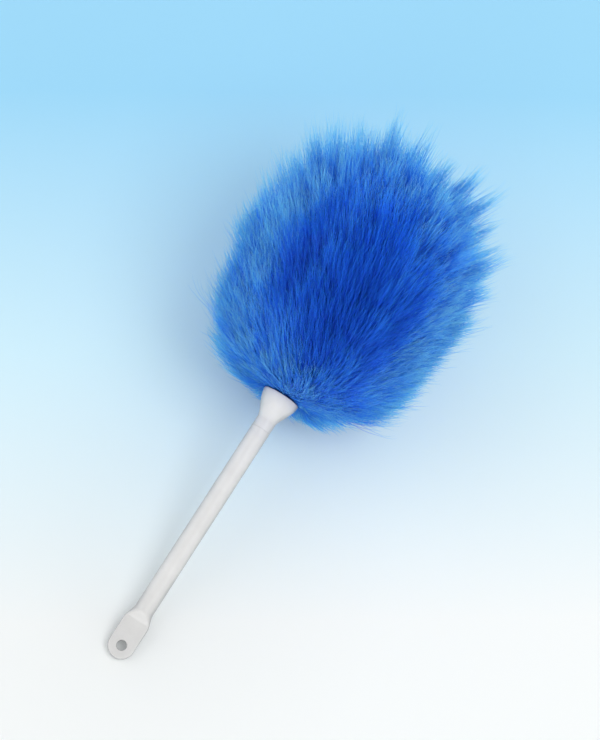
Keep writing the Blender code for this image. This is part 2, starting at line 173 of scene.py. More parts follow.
def nearest_core(aims: np.ndarray, cores: np.ndarray) -> tuple[np.ndarray, np.ndarray]:
    """Find the core that each direction is nearest to.

    Args:
        aims: The directions.
        cores: The cores' directions, spread over the whole ball.

    Returns:
        The cores' numbers, and how far off they are, in half spaces between cores.
    """
    nearest = np.argmax(aims @ cores.T, axis=1)
    apart = np.arccos(np.clip((aims * cores[nearest]).sum(axis=1), -1, 1))
    return nearest, apart / (math.sqrt(4 * math.pi / len(cores)) / 2)


def linked(name: str, data: bpy.types.ID) -> bpy.types.Object:
    """Put a new object into the scene.

    Args:
        name: Its name.
        data: Its mesh, lamp or camera.

    Returns:
        The object.
    """
    made = bpy.data.objects.new(name, data)
    bpy.context.scene.collection.objects.link(made)
    return made


@dataclass(frozen=True)
class Lie:
    """Where the duster lies: its own axes and stations, placed in the room."""

    matrix: Matrix

    @classmethod
    def from_frame(cls) -> "Lie":
        """Read the axis off the hang tab's two faces, and station zero off the collar's rim.

        Returns:
            Where the duster lies.
        """
        mounts = {mount["name"]: mount for mount in frame["record"]["mounts"]}
        front, back = mounts["tab_front_face"], mounts["tab_back_face"]
        up = Vector(front["axis"]).normalized()
        along = Vector((0, 1, 0)).cross(up)
        on_axis = (Vector(front["pos_m"]) + Vector(back["pos_m"])) / 2
        collar = frame["nodes"][Node.COLLAR.value].data.vertices
        reach = max((corner.co - on_axis).dot(along) for corner in collar)
        rim = on_axis + reach * along
        turn = Matrix((along, Vector((0, 1, 0)), up)).transposed().to_4x4()
        return cls(Matrix.Translation(rim) @ turn)

    @property
    def turn(self) -> np.ndarray:
        """The rotation from the duster's own axes to the room's."""
        return np.array(self.matrix.to_3x3())

    @property
    def origin(self) -> np.ndarray:
        """The rim's middle, in the room."""
        return np.array(self.matrix.translation)

    def heights(self, points: np.ndarray) -> np.ndarray:
        """Heights over the table of points in the duster's own axes."""
        return points @ self.turn[2] + self.origin[2]

    def point(self, station: float) -> Vector:
        """The point of the axis at a station, in the room."""
        return self.matrix @ Vector((station, 0, 0))

    def carry(
        self, name: str, mesh: bpy.types.Mesh, finish: bpy.types.Material, node: Node
    ) -> bpy.types.Object:
        """Lay a mesh in its place as a piece that stands for a solid.

        Args:
            name: The piece's name.
            mesh: Its mesh, in the duster's own axes.
            finish: Its material.
            node: The solid that the piece stands for.

        Returns:
            The new object.
        """
        mesh.transform(self.matrix)
        mesh.materials.clear()
        mesh.materials.append(finish)
        piece = linked(name, mesh)
        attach(piece, Body.DUSTER.value)
        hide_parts(node.value)
        LOG.info("%s: %d faces", name, len(mesh.polygons))
        return piece


@dataclass(frozen=True)
class Grain:
    """A noise pattern, with its features in a metre and how strong its finer octaves are.

    The stretch multiplies the features along each of the duster's own axes.
    """

    scale: float
    detail: float = 2.0
    rough: float = 0.5
    stretch: Triple = (1, 1, 1)


def drawn_out(along: float, across: float, detail: float = 2.0, rough: float = 0.5) -> Grain:
    """Describe a grain drawn out along the duster, by its features in a metre each way."""
    return Grain(1.0, detail, rough, (along, across, across))


class NodeSheet:
    """A tree of shader nodes."""

    def __init__(self, tree: bpy.types.NodeTree) -> None:
        """Start to draw in a tree."""
        self.tree = tree

    def add(self, kind: str, **settings: Any) -> bpy.types.Node:
        """Add a node.

        Args:
            kind: The node's type.
            **settings: Its settings.

        Returns:
            The node.
        """
        node = self.tree.nodes.new(kind)
        for name, value in settings.items():
            setattr(node, name, value)
        return node

    def join(self, source: Socket, target: Socket) -> None:
        """Link one socket to another."""
        self.tree.links.new(source, target)

    def axes(self, place: Socket) -> bpy.types.NodeOutputs:
        """Split a place into its parts.

        Args:
            place: The place.

        Returns:
            The parts X, Y and Z.
        """
        node = self.add("ShaderNodeSeparateXYZ")
        self.join(place, node.inputs[0])
        return node.outputs

    def combine(self, operation: str, first: Socket, second: Socket | float = 0.0) -> Socket:
        """Combine two values.

        Args:
            operation: The Math node's operation.
            first: The first value.
            second: The second value, or a number.

        Returns:
            The result.
        """
        node = self.add("ShaderNodeMath", operation=operation)
        self.join(first, node.inputs[0])
        if isinstance(second, Socket):
            self.join(second, node.inputs[1])
        else:
            node.inputs[1].default_value = second
        return node.outputs[0]

    def span(self, value: Socket, span: Span) -> Socket:
        """Carry a value from one range to another, and stop it at the ends.

        Args:
            value: The value.
            span: The ends of the first range, then what they become.

        Returns:
            The result.
        """
        node = self.add("ShaderNodeMapRange", clamp=True)
        self.join(value, node.inputs["Value"])
        for name, number in zip(("From Min", "From Max", "To Min", "To Max"), span):
            node.inputs[name].default_value = number
        return node.outputs["Result"]

    def shown(self) -> Socket:
        """Tell what the camera sees, directly, in a reflection or through glass.

        Returns:
            1 where it is seen, and 0 elsewhere.
        """
        path = self.add("ShaderNodeLightPath").outputs
        seen = self.combine("MAXIMUM", path["Is Camera Ray"], path["Is Glossy Ray"])
        return self.combine("MAXIMUM", seen, path["Is Transmission Ray"])

    def blend(self, share: Socket, first: Socket, second: Socket, end: str) -> None:
        """Mix two shaders, and lead the mix to the end of the tree.

        Args:
            share: How much of the second shader shows.
            first: The first shader.
            second: The second shader.
            end: Name of the node that ends the tree.
        """
        node = self.add("ShaderNodeMixShader")
        for source, target in zip((share, first, second), node.inputs):
            self.join(source, target)
        self.join(node.outputs[0], self.tree.nodes[end].inputs["Surface"])


class FinishSheet(NodeSheet):
    """The nodes of one finish, laid out along the duster's own axes."""

    def __init__(self, name: str, lie: Lie) -> None:
        """Start a material with a plain Principled shader.

        Args:
            name: The material's name.
            lie: Where the duster lies.
        """
        self.material = bpy.data.materials.new(name)
        self.material.use_nodes = True
        super().__init__(self.material.node_tree)
        self.shader = self.tree.nodes["Principled BSDF"]
        self.lie = lie

    def fix(self, **values: Any) -> None:
        """Set the shader's own sockets, each named with _ for a space."""
        for name, value in values.items():
            self.shader.inputs[name.replace("_", " ")].default_value = value

    def place(self, stretch: Triple = (1, 1, 1)) -> Socket:
        """Give the place on the duster.

        Args:
            stretch: Factors along the duster's own axes.

        Returns:
            The place in those axes, stretched.
        """
        spot = self.add("ShaderNodeTexCoord")
        level = self.add("ShaderNodeMapping")
        home = self.lie.matrix.inverted()
        level.inputs["Rotation"].default_value = home.to_euler()
        level.inputs["Location"].default_value = home.translation
        scaled = self.add("ShaderNodeMapping")
        scaled.inputs["Scale"].default_value = stretch
        self.join(spot.outputs["Object"], level.inputs["Vector"])
        self.join(level.outputs["Vector"], scaled.inputs["Vector"])
        return scaled.outputs["Vector"]

    def noise(self, grain: Grain) -> Socket:
        """Give a noise between about 0 and 1.

        Args:
            grain: Its pattern.

        Returns:
            The noise's value.
        """
        node = self.add("ShaderNodeTexNoise")
        node.inputs["Scale"].default_value = grain.scale
        node.inputs["Detail"].default_value = grain.detail
        node.inputs["Roughness"].default_value = grain.rough
        self.join(self.place(grain.stretch), node.inputs["Vector"])
        return node.outputs["Fac"]

    def colour(self, value: Socket, shades: Stops) -> None:
        """Colour the shader by a value.

        Args:
            value: The value.
            shades: Rising places from 0 to 1, each with a linear colour.
        """
        node = self.add("ShaderNodeValToRGB")
        band = node.color_ramp
        while len(band.elements) < len(shades):
            band.elements.new(0.5)
        for element, (spot, colour) in zip(band.elements, shades):
            element.position = spot
            element.color = (*colour, 1.0)
        self.join(value, node.inputs["Fac"])
        self.join(node.outputs["Color"], self.shader.inputs["Base Color"])

    def roughness(self, value: Socket, span: Span) -> None:
        """Set the shader's roughness by a value and a span."""
        self.join(self.span(value, span), self.shader.inputs["Roughness"])

    def bump(self, height: Socket, distance: float = 1.0) -> None:
        """Raise the surface.

        Args:
            height: How far, in steps of the distance.
            distance: Length of one step in metres.
        """
        node = self.add("ShaderNodeBump")
        node.inputs["Distance"].default_value = distance
        self.join(height, node.inputs["Height"])
        self.join(node.outputs["Normal"], self.shader.inputs["Normal"])


@dataclass(frozen=True)
class Finish:
    """A procedural finish, with its shades as places on a ramp and linear colours."""

    name: str

    def make(self, lie: Lie) -> bpy.types.Material:
        """Make the material, laid out along the duster's own axes.

        Args:
            lie: Where the duster lies.

        Returns:
            The material.
        """
        sheet = FinishSheet(self.name, lie)
        self.draw(sheet)
        return sheet.material

    def draw(self, sheet: FinishSheet) -> None:
        """Draw the nodes that lead to the sheet's shader."""
        raise NotImplementedError


@dataclass(frozen=True)
class MouldedPlastic(Finish):
    """Satin white plastic with a faint moulded grain, soft scuffs and a mould parting line.

    Its shades run from the darker edge over dulled to clean plastic. The darker edge is painted shade,
    where the surface turns away from the viewer. The hang tab and its shoulder are painted a little darker
    than the rest, as painted shade.
    """

    shades: Stops = (
        (0.0, (0.38, 0.38, 0.385)),
        (0.28, (0.60, 0.595, 0.585)),
        (0.56, (0.705, 0.70, 0.69)),
    )
    clouds: Grain = Grain(60.0, 4.0, 0.6)
    cloud_shade: Span = (0.0, 1.0, 0.32, 0.74)
    # Painted shade: these two darken the edges that turn away from the viewer.
    edge_weight: float = 0.75
    edge_power: float = 1.1
    # Painted shade over the hang tab and its shoulder.
    handled: Span = (-0.152, -0.138, 0.20, 0.0)
    scuffs: Grain = drawn_out(1 / 0.014, 1 / 0.0012, 3.0, 0.6)
    scuffed_roughness: Span = (0.45, 0.7, 0.33, 0.50)
    grain: Grain = Grain(2600.0, 1.0)
    grain_height: float = 0.00003
    parting_height: float = 0.00012
    parting_width: float = 0.00022
    parted: bool = True
    refraction: float = 1.49

    def draw(self, sheet: FinishSheet) -> None:
        """Draw the nodes that lead to the sheet's shader."""
        axes = sheet.axes(sheet.place())
        cloud = sheet.span(sheet.noise(self.clouds), self.cloud_shade)
        # Painted shade: the colour darkens where the surface turns away from the viewer.
        facing = sheet.add("ShaderNodeLayerWeight").outputs["Facing"]
        rim = sheet.combine("POWER", facing, self.edge_power)
        rim = sheet.combine("MULTIPLY", rim, self.edge_weight)
        shade = sheet.combine("SUBTRACT", cloud, rim)
        # Painted shade: the hang tab and its shoulder are darker.
        shade = sheet.combine("SUBTRACT", shade, sheet.span(axes["X"], self.handled))
        sheet.colour(shade, self.shades)
        scuffs = sheet.noise(self.scuffs)
        sheet.roughness(scuffs, self.scuffed_roughness)
        height = sheet.combine("MULTIPLY", sheet.noise(self.grain), self.grain_height)
        shallow = sheet.combine("MULTIPLY", scuffs, -self.grain_height)
        height = sheet.combine("ADD", height, shallow)
        if self.parted:
            off = sheet.combine("ABSOLUTE", axes["Z"])
            ridge = sheet.span(off, (0.0, self.parting_width, self.parting_height, 0.0))
            height = sheet.combine("ADD", height, ridge)
        sheet.bump(height)
        sheet.fix(IOR=self.refraction)


@dataclass(frozen=True)
class DyedWool(Finish):
    """Dyed lambswool fibres: deep at the root, bright and pale at the tip, partly as the dye is and partly
    as painted shade deep in the pile and painted light on the tips.

    The bake map's first axis holds a strand's tone, which carries tone that differs at random as well as
    painted light and shade, and its second the share of its length.
    """

    shades: Stops = (
        (0.0, (0.0016, 0.058, 0.540)),
        (0.2, (0.0030, 0.086, 0.780)),
        (0.5, (0.0070, 0.140, 0.950)),
        (0.75, (0.0330, 0.300, 1.000)),
        (1.0, (0.1700, 0.630, 1.000)),
    )
    tone_weight: float = 0.65
    along_weight: float = 0.18
    along_gain: float = 0.42
    along_power: float = 1.5
    roughness: float = 0.6
    specular: float = 0.2
    glow: float = 0.35
    glow_depth: float = 0.0006
    glow_reach: Colour = (0.3, 0.6, 1.0)
    sheen: float = 0.35
    sheen_spread: float = 0.4
    sheen_tint: Colour = (0.12, 0.38, 1.0)

    def draw(self, sheet: FinishSheet) -> None:
        """Draw the nodes that lead to the sheet's shader."""
        strand = sheet.axes(sheet.add("ShaderNodeUVMap", uv_map=BAKE_MAP).outputs["UV"])
        tone = sheet.combine("MULTIPLY", strand["X"], self.tone_weight)
        # The darker roots are partly painted shade deep in the pile and the paler tips partly painted
        # light, most on the lighter strands.
        along = sheet.combine("POWER", strand["Y"], self.along_power)
        gain = sheet.combine("MULTIPLY", strand["X"], self.along_gain)
        gain = sheet.combine("ADD", gain, self.along_weight)
        along = sheet.combine("MULTIPLY", along, gain)
        sheet.colour(sheet.combine("ADD", tone, along), self.shades)
        sheet.fix(
            Roughness=self.roughness,
            Specular_IOR_Level=self.specular,
            Subsurface_Weight=self.glow,
            Subsurface_Radius=self.glow_reach,
            Subsurface_Scale=self.glow_depth,
            Sheen_Weight=self.sheen,
            Sheen_Roughness=self.sheen_spread,
            Sheen_Tint=(*self.sheen_tint, 1.0),
        )


@dataclass(frozen=True)
class MattedWool(Finish):
    """The dense underfur: dark dyed wool with streaks that run along the duster, its darkness partly the
    dye and partly painted shade deep in the pile, and lighter towards its sides as painted light.
    """

    shades: Stops = ((0.25, (0.0034, 0.064, 0.380)), (0.85, (0.0120, 0.130, 0.560)))
    half_width: float = 0.062
    # Painted light: the underfur is lighter towards its sides by this weight.
    aside_weight: float = 0.6
    streaks: Grain = drawn_out(1 / 0.020, 1 / 0.0016, 3.0, 0.6)
    streak_weight: float = 0.5
    streak_height: float = 0.0006
    roughness: float = 0.9
    specular: float = 0.2

    def draw(self, sheet: FinishSheet) -> None:
        """Draw the nodes that lead to the sheet's shader."""
        streaky = sheet.noise(self.streaks)
        # Painted light and shade: lighter towards the sides, darker along the middle of its width.
        aside = sheet.combine("ABSOLUTE", sheet.axes(sheet.place())["Y"])
        aside = sheet.combine("DIVIDE", aside, self.half_width)
        aside = sheet.combine("MULTIPLY", aside, self.aside_weight)
        shade = sheet.combine("ADD", aside, sheet.combine("MULTIPLY", streaky, self.streak_weight))
        sheet.colour(shade, self.shades)
        sheet.bump(streaky, self.streak_height)
        sheet.fix(Roughness=self.roughness, Specular_IOR_Level=self.specular)


@dataclass(frozen=True)
class DowelWood(Finish):
    """Pale turned dowel, with its grain along the rod."""

    shades: Stops = ((0.3, (0.42, 0.26, 0.12)), (0.6, (0.60, 0.42, 0.23)))
    grain: Grain = drawn_out(12.0, 900.0, 4.0, 0.65)
    grain_roughness: Span = (0.3, 0.7, 0.75, 0.6)
    pores: Grain = drawn_out(120.0, 4000.0)
    pore_shade: Span = (0.3, 0.7, 0.8, 1.1)
    pore_height: float = 0.00008

    def draw(self, sheet: FinishSheet) -> None:
        """Draw the nodes that lead to the sheet's shader."""
        grain, pores = sheet.noise(self.grain), sheet.noise(self.pores)
        shade = sheet.combine("MULTIPLY", grain, sheet.span(pores, self.pore_shade))
        sheet.colour(shade, self.shades)
        sheet.roughness(grain, self.grain_roughness)
        sheet.bump(pores, self.pore_height)


@dataclass(frozen=True)
class SheepskinHide(Finish):
    """Tanned hide, mottled and creased as suede is."""

    shades: Stops = ((0.35, (0.30, 0.20, 0.13)), (0.62, (0.46, 0.33, 0.22)))
    mottle: Grain = Grain(260.0, 5.0, 0.6)
    nap: Grain = Grain(3200.0, 3.0, 0.7)
    nap_roughness: Span = (0.3, 0.7, 0.78, 0.92)
    nap_height: float = 0.00012
    sheen: float = 0.25

    def draw(self, sheet: FinishSheet) -> None:
        """Draw the nodes that lead to the sheet's shader."""
        mottle, nap = sheet.noise(self.mottle), sheet.noise(self.nap)
        sheet.colour(mottle, self.shades)
        sheet.roughness(nap, self.nap_roughness)
        sheet.bump(sheet.combine("ADD", nap, mottle), self.nap_height)
        sheet.fix(Sheen_Weight=self.sheen)


@dataclass(frozen=True)
class SteelWire(Finish):
    """Bright drawn steel with fine lines and a little tarnish."""

    shades: Stops = ((0.34, (0.44, 0.42, 0.40)), (0.55, (0.64, 0.64, 0.66)))
    stain: Grain = Grain(700.0, 4.0, 0.6)
    lines: Grain = drawn_out(300.0, 9000.0)
    line_roughness: Span = (0.3, 0.7, 0.22, 0.38)
    line_height: float = 0.00002

    def draw(self, sheet: FinishSheet) -> None:
        """Draw the nodes that lead to the sheet's shader."""
        lines = sheet.noise(self.lines)
        sheet.colour(sheet.noise(self.stain), self.shades)
        sheet.roughness(lines, self.line_roughness)
        sheet.bump(lines, self.line_height)
        sheet.fix(Metallic=1.0)


@dataclass(frozen=True)
class PaleFloor(Finish):
    """A pale studio floor that fades from white at the handle's end to sky blue past the wool.

    Far from the duster it is lost in plain white, so that it shows no horizon.
    """

    shades: Stops = (
        (0.0, (0.905, 0.925, 0.915)),
        (0.5, (0.625, 0.855, 0.945)),
        (1.0, (0.325, 0.675, 0.91)),
    )
    fade: Span = (-0.12, 0.22, 0.0, 1.0)
    grain: Grain = Grain(40.0, 3.0)
    grain_weight: float = 0.01
    haze: Span = (0.55, 1.65, 0.0, 1.0)
    roughness: float = 0.8

    def draw(self, sheet: FinishSheet) -> None:
        """Draw the nodes, with the fade along the first axis."""
        place = sheet.place()
        fade = sheet.span(sheet.axes(place)["X"], self.fade)
        grain = sheet.combine("MULTIPLY", sheet.noise(self.grain), self.grain_weight)
        sheet.colour(sheet.combine("ADD", fade, grain), self.shades)
        sheet.fix(Roughness=self.roughness)
        away = sheet.add("ShaderNodeVectorMath", operation="LENGTH")
        sheet.join(place, away.inputs[0])
        haze = sheet.span(away.outputs["Value"], self.haze)
        white = sheet.add("ShaderNodeEmission").outputs[0]
        lost = sheet.combine("MULTIPLY", sheet.shown(), haze)
        sheet.blend(lost, sheet.shader.outputs[0], white, "Material Output")


def mesh_of(name: str, corners: Sequence[Any], faces: Faces, sharp: float) -> bpy.types.Mesh:
    """Make a smooth mesh, with its sharp edges marked.

    Args:
        name: The mesh's name.
        corners: Its corners, each of three numbers.
        faces: Corner numbers of each face.
        sharp: Angle over which an edge stays sharp, in radians.

    Returns:
        The mesh.
    """
    mesh = bpy.data.meshes.new(name)
    mesh.from_pydata([tuple(corner) for corner in corners], [], faces)
    shape = bmesh.new()
    shape.from_mesh(mesh)
    bmesh.ops.recalc_face_normals(shape, faces=shape.faces)
    shape.to_mesh(mesh)
    shape.free()
    mesh.shade_smooth()
    mesh.set_sharp_from_angle(angle=sharp)
    return mesh


def turned(profile: Profile, segments: int, ring: bool) -> tuple[list[Vector], Faces]:
    """Spin a profile round the axis.

    Args:
        profile: Stations and radii. The ends lie on the axis unless the profile is a ring.
        segments: Steps round the axis.
        ring: Whether the last point meets the first.

    Returns:
        The corners and the faces.
    """
    corners: list[Vector] = []
    rows: list[list[int]] = []
    for station, radius in profile:
        count = segments if radius > 0 else 1
        rows.append(list(range(len(corners), len(corners) + count)))
        for step in range(count):
            angle = math.tau * step / segments
            corners.append(Vector((station, radius * math.sin(angle), radius * math.cos(angle))))
    faces: Faces = []
    for row, other in zip(rows, rows[1:] + rows[:1] if ring else rows[1:]):
        for step in range(segments):
            after = (step + 1) % segments
            loop = [
                row[step % len(row)],
                row[after % len(row)],
                other[after % len(other)],
                other[step % len(other)],
            ]
            faces.append(tuple(dict.fromkeys(loop)))
    return corners, faces


def finished(mesh: bpy.types.Mesh, cutter: bpy.types.Mesh | None = None) -> bpy.types.Mesh:
    """Cut a mesh, and let its large faces lead the shading up to their rounded edges.

    Args:
        mesh: The mesh to finish.
        cutter: What is cut out of it, if anything.

    Returns:
        A new mesh.
    """
    blank = linked("blank", mesh)
    helpers = [blank]
    if cutter is not None:
        tool = linked("tool", cutter)
        helpers.append(tool)
        cut = blank.modifiers.new("cut", "BOOLEAN")
        cut.operation = "DIFFERENCE"
        cut.object = tool
    lead = blank.modifiers.new("flat_faces_lead", "WEIGHTED_NORMAL")
    lead.keep_sharp = True
    lead.weight = FACE_LEAD
    bpy.context.view_layer.update()
    graph = bpy.context.evaluated_depsgraph_get()
    made = bpy.data.meshes.new_from_object(blank.evaluated_get(graph), depsgraph=graph)
    for helper in helpers:
        bpy.data.objects.remove(helper)
    made.name = mesh.name
    return made


@dataclass
class Handle:
    """Shaft and hang tab in one moulding, with the socket that the core rod stands in."""

    shaft_radius: float = 0.006
    reach: float = 0.183
    seat_station: float = -0.02304
    seat_radius: float = 0.0049
    top_station: float = -0.0088
    socket_radius: float = 0.0040
    socket_depth: float = 0.026
    edge_break: float = 0.00012
    half_width: float = 0.00825
    half_thickness: float = 0.00225
    edge_radius: float = 0.0011
    tab_straight: float = 0.0145
    shoulder_length: float = 0.011
    nose_length: float = 0.0065
    hole_radius: float = 0.003
    hole_round: float = 0.0006
    corner_steps: int = 12
    end_steps: int = 48
    shoulder_steps: int = 20
    nose_steps: int = 16
    hole_steps: int = 8
    hole_segments: int = 72

    def section(self, station: float, width: float, height: float, corner: float) -> list[Vector]:
        """Draw one ring of the handle, a rectangle with round corners.

        Args:
            station: Where it lies along the axis.
            width: Half its width.
            height: Half its height.
            corner: Radius of its corners.

        Returns:
            Its points, from the top middle through the +Y side and back.
        """
        quarter = [(0.0, height)]
        for step in range(self.corner_steps):
            turn = math.pi / 2 * (step + 0.5) / self.corner_steps
            quarter.append(
                (width - corner + corner * math.sin(turn), height - corner + corner * math.cos(turn))
            )
        half = quarter + [(width, 0.0)] + [(y, -z) for y, z in reversed(quarter)]
        points = half + [(-y, z) for y, z in reversed(half[1:-1])]
        return [Vector((station, y, z)) for y, z in points]

    def rings(self) -> list[list[Vector]]:
        """Draw all rings from the hang tab's round end up the shaft and down into the socket.

        Returns:
            The rings.
        """
        hole = self.half_width - self.reach
        wide = hole + self.tab_straight
        narrow = wide + self.shoulder_length
        nose = (wide + narrow) / 2 - self.nose_length / 2
        stations = [hole]
        for step in range(self.shoulder_steps + 1):
            stations.append(wide + self.shoulder_length * step / self.shoulder_steps)
        for step in range(self.nose_steps):
            stations.append(nose + self.nose_length * (step + 0.5) / self.nose_steps)
        rings = []
        for station in sorted(stations):
            spread = 1 - float(ease(station, wide, self.shoulder_length))
            flat = 1 - float(ease(station, nose, self.nose_length))
            width = self.shaft_radius + (self.half_width - self.shaft_radius) * spread
            height = self.shaft_radius + (self.half_thickness - self.shaft_radius) * flat
            corner = self.shaft_radius + (self.edge_radius - self.shaft_radius) * flat
            rings.append(self.section(station, width, height, corner))
        turned_down = [
            (self.seat_station - self.edge_break, self.shaft_radius),
            (self.seat_station, self.shaft_radius - self.edge_break),
            (self.seat_station, self.seat_radius),
            (self.top_station - self.edge_break, self.seat_radius),
            (self.top_station, self.seat_radius - self.edge_break),
            (self.top_station, self.socket_radius),
            (self.top_station - self.socket_depth, self.socket_radius),
        ]
        return rings + [self.section(station, r, r, r) for station, r in turned_down]

    def hole_cutter(self) -> bpy.types.Mesh:
        """Make the hang hole's cutter, which rounds the hole's edges over.

        Returns:
            The cutter.
        """
        bow = [math.pi / 2 * step / self.hole_steps for step in range(self.hole_steps + 1)]
        face, size = self.half_thickness, self.hole_round
        mouth = [
            (face - size * (1 - math.sin(turn)), self.hole_radius + size * (1 - math.cos(turn)))
            for turn in bow
        ]
        mouth.append((face + size, self.hole_radius + 2 * size))
        profile = [(-z, radius) for z, radius in reversed(mouth)] + mouth
        profile = [(profile[0][0], 0.0), *profile, (profile[-1][0], 0.0)]
        corners, faces = turned(profile, self.hole_segments, False)
        place = Matrix.Translation((self.half_width - self.reach, 0, 0))
        place = place @ Matrix.Rotation(-math.pi / 2, 4, "Y")
        return mesh_of("hang_hole_cutter", [place @ corner for corner in corners], faces, math.pi)

    def shell(self) -> bpy.types.Mesh:
        """Make the moulding without its hang hole.

        Returns:
            The moulding.
        """
        rings = self.rings()
        size = len(rings[0])
        corners = [point for ring in rings for point in ring]
        faces: Faces = []
        for row in range(len(rings) - 1):
            for step in range(size):
                after = (step + 1) % size
                low, high = row * size, (row + 1) * size
                faces.append((low + step, low + after, high + after, high + step))
        faces.append(tuple(range((len(rings) - 1) * size, len(rings) * size)))
        half = size // 2
        hole = rings[0][0].x
        before = list(range(half + 1))
        for step in range(1, self.end_steps + 1):
            angle = math.pi * step / self.end_steps
            if step == self.end_steps:
                row = [0] + [size - place for place in range(1, half)] + [half]
            else:
                row = [0]
                for place in range(1, half):
                    point = rings[0][place]
                    spot = (hole - math.sin(angle) * point.y, math.cos(angle) * point.y, point.z)
                    row.append(len(corners))
                    corners.append(Vector(spot))
                row.append(half)
            for place in range(half):
                loop = (before[place], row[place], row[place + 1], before[place + 1])
                faces.append(tuple(dict.fromkeys(loop)))
            before = row
        return mesh_of("handle_moulding", corners, faces, SHARP_ANGLE)

    def build(self, lie: Lie, finish: bpy.types.Material) -> bpy.types.Object:
        """Make the handle, with its hang hole cut through the tab."""
        mesh = finished(self.shell(), self.hole_cutter())
        return lie.carry("handle_moulding", mesh, finish, Node.HANDLE)


@dataclass
class Collar:
    """The ferrule: a neck flush with the shaft that flares into a cup round the wool's root."""

    wall: float = 0.0008
    neck_length: float = 0.006
    flare_length: float = 0.017
    neck_radius: float = 0.006
    flare_out: float = 0.0056
    flare_power: float = 1.6
    bell_steps: int = 30
    lip_steps: int = 10
    foot_steps: int = 4
    edge_break: float = 0.00012
    segments: int = 128

    def radius(self, station: float) -> float:
        """Give the outer radius at a station: a straight neck, then a bell up to the rim."""
        share = min(max(1 + station / self.flare_length, 0.0), 1.0)
        return self.neck_radius + self.flare_out * math.sin(math.pi / 2 * share) ** self.flare_power

    def build(self, lie: Lie, finish: bpy.types.Material) -> bpy.types.Object:
        """Spin the ferrule's wall, with a round lip and a broken edge at its foot.

        Args:
            lie: Where the duster lies.
            finish: The ferrule's material.

        Returns:
            The piece.
        """
        lip = self.wall / 2
        foot = -self.neck_length - self.flare_length
        run = self.flare_length - lip
        bell = [step / self.bell_steps * run - self.flare_length for step in range(self.bell_steps + 1)]
        outside = [(station, self.radius(station)) for station in bell]
        middle = outside[-1][1] - lip
        turns = [math.pi * step / self.lip_steps for step in range(1, self.lip_steps)]
        rim = [(lip * math.sin(turn) - lip, middle + lip * math.cos(turn)) for turn in turns]
        inside = [(station, radius - self.wall) for station, radius in reversed(outside)]
        bore = self.neck_radius - self.wall
        base = [(foot, bore), (foot, self.neck_radius - self.edge_break)]
        for step in range(1, self.foot_steps + 1):
            turn = math.pi / 2 * step / self.foot_steps
            up, out = self.edge_break * (1 - math.cos(turn)), self.edge_break * (1 - math.sin(turn))
            base.append((foot + up, self.neck_radius - out))
        corners, faces = turned(base + outside + rim + inside, self.segments, True)
        mesh = finished(mesh_of("collar_ferrule", corners, faces, SHARP_ANGLE))
        return lie.carry("collar_ferrule", mesh, finish, Node.COLLAR)


@dataclass
class Underfur:
    """The dense matted wool close to the hide, which closes the gaps between the locks."""

    foot: float = 0.0006
    top: float = 0.148
    half_width: float = 0.0605
    power: float = 2.35
    full_side: float = 0.03
    bore: float = 0.0060
    bore_top: float = 0.1135
    thinnest: float = 0.001
    rest_layer: float = 0.0008
    rest_soft: float = 0.004
    steps: int = 64
    segments: int = 144
    tuft_height: float = 0.0016
    tuft_zone: Zone = (0.002, 0.012)
    tuft_waves: int = 24
    tuft_scale: Triple = (70.0, 210.0, 210.0)
    tuft_seed: int = 11

    def radius(self, stations: np.ndarray) -> np.ndarray:
        """Give the mean radius, which is nothing past the ends.

        Args:
            stations: Where along the axis.

        Returns:
            The radius there.
        """
        half = (self.top - self.foot) / 2
        share = np.clip(np.abs(stations - self.foot - half) / half, 0.0, 1.0)
        return self.half_width * (1 - share**self.power) ** (1 / self.power)

    def relief(self, points: np.ndarray) -> np.ndarray:
        """Give a random relief of waves that are longer along the duster than across it.

        Args:
            points: Points in the duster's own axes.

        Returns:
            The relief there, of mean height 0 and about 1 high.
        """
        rng = np.random.default_rng(self.tuft_seed)
        waves = rng.normal(0, 1, (self.tuft_waves, 3)) * np.array(self.tuft_scale)
        phases = rng.uniform(0, math.tau, self.tuft_waves)
        return np.sin(points @ waves.T + phases).sum(axis=1) / math.sqrt(self.tuft_waves)

    def build(self, lie: Lie, finish: bpy.types.Material) -> bpy.types.Object:
        """Spin the outline, raise tufts on its outside, and flatten it on the table.

        Args:
            lie: Where the duster lies.
            finish: The underfur's material.

        Returns:
            The piece.
        """
        turns = np.linspace(math.pi, 0.0, self.steps + 1)
        half = (self.top - self.foot) / 2
        stations = self.foot + half * (1 + np.cos(turns))
        widths = np.maximum(self.radius(stations), self.bore + self.thinnest)
        profile = [(self.bore_top, 0.0), (self.bore_top, self.bore), (float(stations[0]), self.bore)]
        first_outer = 1 + (len(profile) - 1) * self.segments
        profile += [(float(x), float(r)) for x, r in zip(stations[:-1], widths[:-1])]
        profile.append((float(stations[-1]), 0.0))
        corners, faces = turned(profile, self.segments, False)
        points = np.array(corners)
        fade = ease(points[:, 0], *self.tuft_zone)
        fade[:first_outer] = 0.0
        raised = self.tuft_height * self.relief(points) * fade
        raised[-1] = 0.0
        across = np.maximum(np.hypot(points[:, 1], points[:, 2]), TINY)
        points += points * np.array([0.0, 1.0, 1.0]) / across[:, None] * raised[:, None]
        centre = np.array([self.foot + half, 0.0, 0.0])
        side = points[:, 1] / np.linalg.norm(points - centre, axis=1) * fade
        points[:, 1:] *= (1 + self.full_side * side)[:, None]
        lift = lifted(lie.heights(points), self.rest_layer, self.rest_soft)
        points += lift[:, None] * lie.turn[2]
        mesh = mesh_of("wool_underfur", points, faces, math.pi)
        return lie.carry("wool_underfur", mesh, finish, Node.WOOL_PILE)


